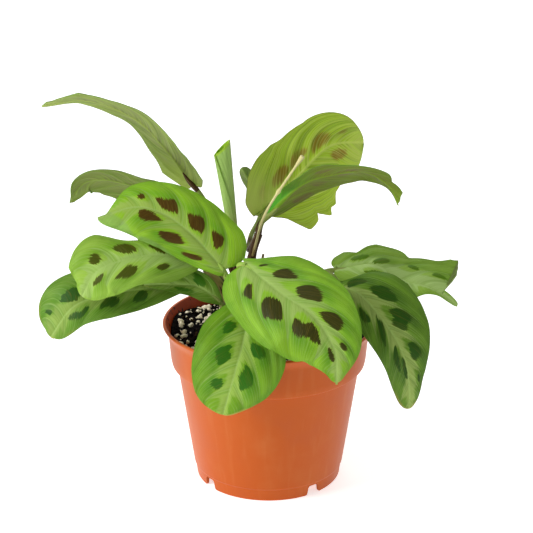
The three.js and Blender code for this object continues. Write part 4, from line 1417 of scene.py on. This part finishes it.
def dry_straw():
    """Dead flower stalk dried in the air: matt straw with brown flecks"""
    stem = bpy.context.scene.prayer_plant.stem
    material, tree = new_material("flower_stalk_dried")
    fibre = grain(tree, painted(tree, "skin")[0], (2.5, 2.5, 0.16), 3)
    browned = worked(tree, fibre, ("ADD", painted(tree, "stem")[1]))
    paints = [
        ("#7c5a34", (browned, 0.75, 1.15, 0.75)),
        ("#f1ecc4", (fibre, 0.45, 0.3, 0.4)),
    ]
    surfaced(tree, layered(tree, stem.straw, paints), (fibre, 0.0002, 0.6), {"Roughness": 0.7, "IOR": 1.45})
    return material


def moulded_polypropylene():
    """Thin injection-moulded polypropylene: satin and faintly mottled, with pale scuffs outside, and inside
    specked with peat and darkened to a deeper red with painted shade"""
    pot = bpy.context.scene.prayer_plant.pot
    material, tree = new_material("polypropylene_injection_moulded")
    place = add(tree, "ShaderNodeTexCoord")["Object"]
    mottle = grain(tree, place, 45, 4)
    flow = grain(tree, place, (260, 260, 14), 2)
    orange_peel = grain(tree, place, 900, 2)
    specks = grain(tree, place, 420, 1)
    level = {0: place, 1: (1, 1, 0), 2: (-POT_AXIS[0], -POT_AXIS[1], 0)}
    from_axis = add(tree, "ShaderNodeVectorMath", level, operation="MULTIPLY_ADD")[0]
    outward = add(tree, "ShaderNodeVectorMath", {0: from_axis}, operation="NORMALIZE")[0]
    normal = add(tree, "ShaderNodeNewGeometry")["Normal"]
    facing = add(tree, "ShaderNodeVectorMath", {0: outward, 1: normal}, operation="DOT_PRODUCT")["Value"]
    paints = [
        (pot.dust, (mottle, 0.5, 0.75, 0.1)),
        (pot.dust, (flow, 0.5, 0.8, 0.1)),
        ("#b4532a", (mottle, 0.5, 0.28, 0.2)),
        # Painted shade: the inside of the wall in a darker, deeper red
        ("#8e2600", (facing, -0.3, -0.8, 0.75)),
        ("#2a160c", (facing, -0.3, -0.8), (specks, 0.61, 0.66)),
    ]
    gloss = add(tree, "ShaderNodeMapRange", {"Value": mottle, "To Min": 0.34, "To Max": 0.5})[0]
    make = {"Roughness": gloss, "IOR": 1.49, "Specular IOR Level": 0.22}
    surfaced(tree, layered(tree, pot.plastic, paints), (orange_peel, 0.00006, 0.5), make)
    return material


def moist_peat():
    """Milled peat with bark, moist: near black crumbs with a few brown fibres"""
    soil = bpy.context.scene.prayer_plant.soil
    material, tree = new_material("peat_milled_moist")
    place = add(tree, "ShaderNodeTexCoord")["Object"]
    crumb = add(tree, "ShaderNodeTexVoronoi", {"Vector": place, "Scale": 650.0})["Distance"]
    height = worked(tree, crumb, ("ADD", grain(tree, place, 500, 5)))
    colour = layered(tree, soil.peat, [(soil.bark, (grain(tree, place, 160, 3), 0.58, 0.7, 0.6))])
    surfaced(tree, colour, (height, 0.0008, 0.9), {"Roughness": 0.9, "IOR": 1.4, "Specular IOR Level": 0.08})
    return material


def expanded_perlite():
    """Volcanic glass popped by heat: matt cream grains with small pits"""
    soil = bpy.context.scene.prayer_plant.soil
    material, tree = new_material("perlite_expanded")
    place = add(tree, "ShaderNodeTexCoord")["Object"]
    pits = grain(tree, place, 900, 4)
    paints = [
        ("#b79c6c", (grain(tree, place, 240, 2), 0.5, 0.75, 0.55)),
        ("#7c6a4c", (pits, 0.42, 0.25, 0.5)),
    ]
    surfaced(tree, layered(tree, soil.perlite, paints), (pits, 0.0004, 0.8), {"Roughness": 0.85, "IOR": 1.5})
    return material


def studio_floor():
    """Matt white studio floor, lit so brightly that shadows nearly vanish"""
    material, tree = new_material("studio_floor_painted")
    cloud = grain(tree, add(tree, "ShaderNodeTexCoord")["Object"], 8, 2)
    colour = layered(tree, (0.9, 0.9, 0.9), [((0.88, 0.88, 0.88), (cloud, 0.3, 0.7, 0.2))])
    make = {"Roughness": 0.9, "Emission Color": (1, 1, 1, 1), "Emission Strength": 0.62}
    surfaced(tree, colour, None, make)
    return material


# Pot

def rounded(corners, steps=5):
    """An outline with each corner replaced by a small arc"""
    points = []
    for i, (r, z, rounding) in enumerate(corners):
        corner = np.array([r, z])
        before = np.array(corners[i - 1][:2]) if i else corner + (-1.0, 0.0)
        after = np.array(corners[i + 1][:2]) if i + 1 < len(corners) else corner + (-1.0, 0.0)
        leave, arrive = before - corner, after - corner
        cut = min(rounding, 0.45 * np.linalg.norm(leave), 0.45 * np.linalg.norm(arrive))
        a = corner + unit(leave) * cut
        b = corner + unit(arrive) * cut
        for w in np.linspace(0, 1, steps):
            points.append((1 - w) ** 2 * a + 2 * w * (1 - w) * corner + w**2 * b)
    return points


def turned(outline, facets):
    """A closed body turned round the axis from an outline, with a flat start and end"""
    rings = [np.column_stack([circle(facets) * r, np.full(facets, z)]) for r, z in outline]
    return closed_round(rings, (0, 0, outline[0][1]), (0, 0, outline[-1][1]))


def notch_outline(steps=6):
    """Half of a notch from its middle down to its flared foot, as sideways and upward lengths"""
    top, foot, height = NOTCH["top"] / 2, NOTCH["foot"] / 2, NOTCH["height"]
    bend, flare = NOTCH["bend"], NOTCH["flare"]
    arc = np.linspace(0, math.pi / 2, steps)
    inner = [(top - bend + bend * math.sin(a), height - bend + bend * math.cos(a)) for a in arc]
    outer = [(foot - bend * math.cos(a) + flare, bend - bend * math.sin(a)) for a in arc]
    return [*inner, *outer, (foot + flare, -1)]


def prism(outline, near, far):
    """A bar along Y with the given outline, counter-clockwise as seen from -Y"""
    count = len(outline)
    points = [(x, y, z) for y in (near, far) for x, z in outline]
    faces = [list(range(count)), list(range(2 * count - 1, count - 1, -1))]
    for i in range(count):
        j = (i + 1) % count
        faces.append([i, count + i, count + j, j])
    return np.array(points), faces


def cutters():
    """One object that holds the foot's notches and the drain holes"""
    piece = Piece()
    right = notch_outline()
    outline = [(-x, z) for x, z in right] + right[::-1]
    bar, bar_faces = prism(outline, -NOTCH["depth"] / 2, NOTCH["depth"] / 2)
    for angle in NOTCH["angles"]:
        turn = np.array(Matrix.Rotation(math.radians(angle), 3, "Z"))
        piece.add((bar - (0, NOTCH["circle"], 0)) @ turn.T, bar_faces)
    for x, y in DRAIN["circle"] * circle(DRAIN["count"]):
        hole = Curve([(x, y, 0), (x, y, DRAIN["depth"])])
        points, faces, _ = tube(hole, 0, hole.length, lambda w: DRAIN["radius"], sides=32, step=4)
        piece.add(points, faces)
    return linked("pot_cutters", piece.mesh("pot_cutters"))


class PLANT_OT_pot(bpy.types.Operator):
    """Turn the nursery pot and cut its notches and drain holes"""

    bl_idname = "plant.pot"
    bl_label = "Pot"

    def execute(self, context):
        piece = Piece()
        piece.add(*turned(rounded(POT_CORNERS), context.scene.prayer_plant.pot.facets))
        pot = piece.finish("nursery_pot", [moulded_polypropylene()], "pot_plastic", "pot")
        cutter = cutters()
        cut = pot.modifiers.new("notches", "BOOLEAN")
        cut.operation = "DIFFERENCE"
        cut.solver = "EXACT"
        cut.object = cutter
        context.view_layer.update()
        shaped = bpy.data.meshes.new_from_object(pot.evaluated_get(context.evaluated_depsgraph_get()))
        pot.modifiers.remove(cut)
        pot.data = shaped
        shaped.name = "nursery_pot"
        shaped.set_sharp_from_angle(angle=math.radians(CREASE))
        bpy.data.objects.remove(cutter)
        return {"FINISHED"}


# Soil

def soil_wall(z):
    """Radius of the soil just inside the pot's wall"""
    return float(np.interp(z, WALL_HEIGHTS, WALL_RADII)) - WALL_GAP


def soil_height(x, y):
    """Height of the crumbly surface, which is smooth at the wall and heaped against it at the left"""
    edge = 1 - ((x * x + y * y) / soil_wall(SOIL_TOP) ** 2) ** 2
    slow = math.sin(0.21 * x + 1) * math.cos(0.19 * y + 0.4)
    fast = math.sin(0.62 * x + 0.35 * y) * math.cos(0.71 * y - 0.2 * x)
    crumbs = noise.fractal(Vector((x, y, 3.1)) * 0.45, 0.6, 2.2, 4)
    lump = bpy.context.scene.prayer_plant.soil.lump / MM
    from_heap = (x - HEAP["x"]) ** 2 + (y - HEAP["y"]) ** 2
    heaped = HEAP["height"] * math.exp(-from_heap / HEAP["spread"])
    return SOIL_TOP + lump * edge * (slow + 0.7 * fast) + 0.75 * crumbs + heaped


def soil_brim(angle):
    """Radius at which the surface meets the pot's wall in one direction"""
    level = soil_wall(SOIL_TOP)
    return soil_wall(soil_height(level * math.cos(angle), level * math.sin(angle)))


def icosphere():
    """Points and faces of a ball of radius 1"""
    ball = bmesh.new()
    bmesh.ops.create_icosphere(ball, subdivisions=2, radius=1)
    points = np.array([v.co for v in ball.verts])
    faces = [[v.index for v in face.verts] for face in ball.faces]
    ball.free()
    return points, faces


def pebble(draw, ball, size, form, uneven):
    """A small irregular grain round the origin, from the points of a ball"""
    ball = ball * size * form
    shift = Vector(draw.uniform(0, 50, 3))
    swell = np.array([noise.noise(Vector(p) * (1.1 / size) + shift) for p in ball])
    ball = ball * (1 + uneven * swell)[:, None]
    tilt = np.array(Matrix.Rotation(draw.uniform(0, 6.28), 3, Vector(draw.normal(size=3))))
    return ball @ tilt.T


def scattered(draw, count, clear):
    """Random places on the soil, clear of the stems"""
    feet = [np.array(shoot["foot"], float) for shoot in SHOOTS.values()]
    places = []
    while len(places) < count:
        angle = draw.uniform(0, 2 * math.pi)
        reach = (soil_brim(angle) - BRIM_CLEAR) * math.sqrt(draw.random())
        spot = np.array([reach * math.cos(angle), reach * math.sin(angle)])
        if min(np.linalg.norm(spot - foot) for foot in feet) > clear:
            places.append(spot)
    return places


def loose(draw, count, kind):
    """Loose grains of one kind on the soil"""
    piece = Piece()
    ball, faces = icosphere()
    for x, y in scattered(draw, count, kind["clear"]):
        size = kind["least"] + kind["more"] * draw.random() ** 2
        length = kind["length"] if np.isscalar(kind["length"]) else draw.uniform(*kind["length"])
        grain_points = pebble(draw, ball, size, (length, 1, kind["height"]), kind["uneven"])
        piece.add(grain_points + (x, y, soil_height(x, y) + kind["seat"] * size), faces)
    return piece


class PLANT_OT_soil(bpy.types.Operator):
    """Fill the pot with potting mix and scatter perlite and peat crumbs on it"""

    bl_idname = "plant.soil"
    bl_label = "Soil"

    def execute(self, context):
        settings = context.scene.prayer_plant.soil
        peat = moist_peat()
        brim = circle(SOIL_SECTORS)
        brim = brim * [[soil_brim(math.atan2(y, x))] for x, y in brim]
        rings = []
        for share in np.linspace(0, 1, SOIL_RINGS + 1)[1:]:
            rings.append([(x, y, soil_height(x, y)) for x, y in share * brim])
        for radius, z in [*((soil_wall(z), z) for z in SOIL_SIDES), (SOIL_FOOT_RING, SOIL_FOOT)]:
            rings.append([(x, y, z) for x, y in radius * circle(SOIL_SECTORS)])
        piece = Piece()
        piece.add(*closed_round(rings, (0, 0, soil_height(0, 0)), (0, 0, SOIL_FOOT)))
        piece.finish("potting_mix", [peat], "potting_mix", "soil")

        draw = np.random.default_rng(GRAIN_SEED)
        grains = loose(draw, settings.grains, PERLITE)
        grains.finish("perlite_grains", [expanded_perlite()], "potting_mix", crease=GRAIN_CREASE)
        crumbs = loose(draw, settings.crumbs, CRUMB)
        crumbs.finish("peat_crumbs", [peat], "potting_mix", crease=GRAIN_CREASE)
        return {"FINISHED"}


# Stems

def stem_state(points, age, dry, seed):
    """The age and dryness painted on a stem, each a number or one for every point"""
    state = np.zeros((len(points), 3))
    state[:, 0], state[:, 1], state[:, 2] = age, dry, seed
    return state


def add_petiole(piece, leaf, seed):
    """A petiole that sheathes its shoot below and slims towards the pulvinus"""
    curve = stalk_curve(leaf)
    end = curve.length - BLADE_HOLD - PULVINUS_LENGTH
    sheath_radius, dry = leaf["sheath"]
    reach, steepness = (DRY_SHEATH_REACH, 6) if dry else (SHEATH_REACH, 2)

    def radius(w):
        return PETIOLE_RADIUS + (sheath_radius - PETIOLE_RADIUS) * math.exp(-((w / reach) ** steepness))

    points, faces, skin = tube(curve, 0, end, radius)
    age = 0.85 - 0.75 * np.clip(skin[:, 2] / end, 0, 1) ** 0.8
    piece.add(points, faces, 0, skin=skin + (seed, 0, 0), stem=stem_state(points, age, dry, seed))


def add_trunk(piece, shoot, seed):
    """A shoot's own stem, from inside the soil up, with its slight rings"""
    feet = [(*shoot["foot"], SOIL_TOP + z) for z in (-HOLE_DEPTH, -6, 3)]
    way = Curve([*feet, *shoot["trunk"]])

    def radius(w):
        rings = sum(math.exp(-(((w - place) / RING_SPREAD) ** 2)) for place in RING_PLACES)
        return shoot["radius"] * (1 + RING_HEIGHT * rings)

    points, faces, skin = tube(way, 0, way.length, radius)
    piece.add(points, faces, 0, skin=skin, stem=stem_state(points, TRUNK_AGE, TRUNK_DRYNESS, seed))


def add_twig(piece, twig):
    """A short dry twig that tapers to a blunt end"""
    curve = Curve(twig["way"])
    points, faces, skin = tube(curve, 0, curve.length - 0.3, lambda w: TWIG_RADIUS * (1 - 0.25 * w))
    piece.add(points, faces, 0, skin=skin, stem=stem_state(points, TWIG_AGE, twig["dryness"], 3))


class PLANT_OT_shoots(bpy.types.Operator):
    """Grow the five shoots with the petioles that leave them"""

    bl_idname = "plant.shoots"
    bl_label = "Shoots"

    def execute(self, context):
        for seed, (name, shoot) in enumerate(SHOOTS.items()):
            piece = Piece()
            add_trunk(piece, shoot, seed)
            for leaf in [*LEAVES.values(), ROLLED]:
                if leaf["shoot"] == name:
                    add_petiole(piece, leaf, piece.count % 17)
            if name == "shoot_upright":
                for twig in (SPUR, BUD):
                    add_twig(piece, twig)
            piece.finish(name, [petiole_skin()], "stem_skin", name)
        return {"FINISHED"}


class PLANT_OT_leaves(bpy.types.Operator):
    """Grow the open leaves, each with its own blotches and colours"""

    bl_idname = "plant.leaves"
    bl_label = "Leaves"

    def execute(self, context):
        slots = {row["node"]: row["material_slot"] for row in frame["record"]["subparts"]}
        for seed, (name, leaf) in enumerate(LEAVES.items(), start=1):
            piece = leaf_piece(leaf, seed)
            skins = [leaf_upper(name, leaf), leaf_under(name, leaf), petiole_skin()]
            piece.finish(name, skins, slots[name], name, crease=BLADE_CREASE)
        return {"FINISHED"}


class PLANT_OT_rolled_leaf(bpy.types.Operator):
    """Roll the youngest leaf up round its own axis"""

    bl_idname = "plant.rolled_leaf"
    bl_label = "Rolled leaf"

    def execute(self, context):
        rows, columns = 70, 110
        curve = Curve(ROLLED["rib"])
        u = np.linspace(0, 1, rows)
        centre = curve.at(u * curve.length)
        tangent = curve.heading(u * curve.length)
        sideways = square_to(tangent, np.array([1.0, 0, 0]))
        forward = np.cross(tangent, sideways)
        part = np.linspace(0, 1, columns)
        seam = np.radians(ROLLED["seam"] + ROLLED["seam_twist"] * u)
        angle = seam[:, None] - 2 * np.pi * ROLLED["turns"] * (1 - part)[None]
        outside = ROLLED["foot_radius"] + (ROLLED["mouth_radius"] - ROLLED["foot_radius"]) * u
        layers = []
        for offset in (ROLLED["sheet"] / 2, -ROLLED["sheet"] / 2):
            radius = outside[:, None] - ROLLED["turns"] * ROLLED["pitch"] * (1 - part)[None] + offset
            radius = radius + ROLLED["crinkle"] * np.sin(9 * angle) * u[:, None] ** 2
            rise = ROLLED["slant"] * radius * np.cos(angle) * u[:, None] ** 4
            layer = centre[:, None] + tangent[:, None] * rise[..., None]
            layer = layer + sideways[:, None] * (radius * np.cos(angle))[..., None]
            layer = layer + forward[:, None] * (radius * np.sin(angle))[..., None]
            layers.append(layer.reshape(-1, 3))
        tops, bottoms, edge = sheet_faces(rows, columns)
        height = np.repeat(u, columns)
        flush = (np.clip(np.cos(angle - 0.2), 0, 1) ** 3).ravel()
        vein = stacked(np.tile(part * 30, rows), height * curve.length, np.full_like(height, 4.0))
        outer = stacked(height, np.zeros_like(height), flush)
        # The inner layer's form holds the share of painted light that the material lays inside the roll
        inner = stacked(height, np.full_like(height, 0.8), np.zeros_like(height))
        fields = {"vein": np.vstack([vein, vein]), "form": np.vstack([outer, inner])}
        piece = Piece()
        piece.add(np.vstack(layers), tops + bottoms + edge, 0, **fields)
        joint, faces, skin = pulvinus(ROLLED)
        piece.add(joint, faces, 1, skin=skin, stem=stem_state(joint, 0.1, 0, 2))
        materials = [rolled_skin(), petiole_skin()]
        piece.finish("leaf_rolled", materials, "leaf_light", "leaf_rolled", crease=ROLL_CREASE)
        return {"FINISHED"}


class PLANT_OT_flower_stalk(bpy.types.Operator):
    """Add the dry flower stalk with its joint and widened end"""

    bl_idname = "plant.flower_stalk"
    bl_label = "Flower stalk"

    def execute(self, context):
        way = Curve(STALK["way"])

        def radius(w):
            knob = STALK["knob"] * math.exp(-(((w - STALK["knob_place"]) / 0.025) ** 2))
            opened = min(1, max(0, (w - STALK["flare_start"]) / 0.1))
            flare = (STALK["top_radius"] - STALK["radius"]) * opened
            return STALK["radius"] + knob + flare

        points, faces, skin = tube(way, 0, way.length, radius, step=0.5)
        age = 0.45 - 0.7 * np.clip(skin[:, 2] / way.length, 0, 1)
        piece = Piece()
        piece.add(points, faces, 0, skin=skin, stem=stem_state(points, age, 0, 5))
        piece.finish("flower_stalk", [dry_straw()], "dry_stalk", "flower_stalk")
        return {"FINISHED"}


# Stage

class PLANT_OT_stage(bpy.types.Operator):
    """Set the white floor, the soft studio light and the camera"""

    bl_idname = "plant.stage"
    bl_label = "Stage"

    def execute(self, context):
        scene = context.scene
        stage = scene.prayer_plant.stage
        mesh = bpy.data.meshes.new("studio_floor")
        corners = [(-FLOOR, -FLOOR, 0), (FLOOR, -FLOOR, 0), (FLOOR, FLOOR, 0), (-FLOOR, FLOOR, 0)]
        mesh.from_pydata(corners, [], [[0, 1, 2, 3]])
        mesh.materials.append(studio_floor())
        floor = linked("studio_floor", mesh)

        target = Vector(POT_AXIS) + Vector((stage.target_side, 0, stage.target_height))
        camera = linked("camera", bpy.data.cameras.new("camera"))
        camera.data.lens = stage.lens
        camera.data.sensor_width = 36
        back = Vector((0, -math.cos(stage.elevation), math.sin(stage.elevation)))
        camera.location = target + back * stage.distance
        camera.rotation_euler = (math.pi / 2 - stage.elevation, 0, 0)
        scene.camera = camera

        # Each lamp's place from the target, its size and its power
        lamps = (
            ("key_light", (-1.05, -0.4, 0.7), 0.6, stage.key_power),
            ("back_light", (0.2, 0.9, 0.9), 0.9, stage.back_power),
            ("fill_light", (0.95, 0.1, 0.6), 0.8, stage.fill_power),
        )
        for name, offset, size, power in lamps:
            lamp = linked(name, bpy.data.lights.new(name, "AREA"))
            lamp.data.size = size
            lamp.data.energy = power
            lamp.location = target + Vector(offset)
            lamp.rotation_euler = (-Vector(offset)).to_track_quat("-Z", "Y").to_euler()

        # The studio is white all round; what lights the plant is softer than what the camera sees
        world = bpy.data.worlds.new("white_studio")
        scene.world = world
        world.use_nodes = True
        tree = world.node_tree
        tree.nodes.clear()
        seen = add(tree, "ShaderNodeLightPath")["Is Camera Ray"]
        limits = {"Value": seen, "To Min": stage.surround, "To Max": 1.0}
        strength = add(tree, "ShaderNodeMapRange", limits)[0]
        white = add(tree, "ShaderNodeBackground", {"Color": (1, 1, 1, 1), "Strength": strength})[0]
        add(tree, "ShaderNodeOutputWorld", {"Surface": white})
        scene.view_settings.view_transform = "Standard"
        return {"FINISHED"}


OPERATORS = (
    PLANT_OT_pot,
    PLANT_OT_soil,
    PLANT_OT_shoots,
    PLANT_OT_leaves,
    PLANT_OT_rolled_leaf,
    PLANT_OT_flower_stalk,
    PLANT_OT_stage,
)


class PLANT_PT_panel(bpy.types.Panel):
    """Lists the plant's pieces"""

    bl_idname = "PLANT_PT_panel"
    bl_label = "Potted prayer plant"
    bl_space_type = "VIEW_3D"
    bl_region_type = "UI"
    bl_category = "Plant"

    def draw(self, context):
        for operator in OPERATORS:
            self.layout.operator(operator.bl_idname)


CLASSES = (
    PotSettings,
    SoilSettings,
    StemSettings,
    LeafSettings,
    CoatSettings,
    StageSettings,
    PlantSettings,
    *OPERATORS,
    PLANT_PT_panel,
)


def register():
    for item in CLASSES:
        bpy.utils.register_class(item)
    bpy.types.Scene.prayer_plant = PointerProperty(type=PlantSettings)


def unregister():
    del bpy.types.Scene.prayer_plant
    for item in reversed(CLASSES):
        bpy.utils.unregister_class(item)


def main():
    register()
    bpy.ops.plant.stage()
    bpy.ops.plant.pot()
    bpy.ops.plant.soil()
    bpy.ops.plant.shoots()
    bpy.ops.plant.leaves()
    bpy.ops.plant.rolled_leaf()
    bpy.ops.plant.flower_stalk()


if __name__ == "__main__":
    main()
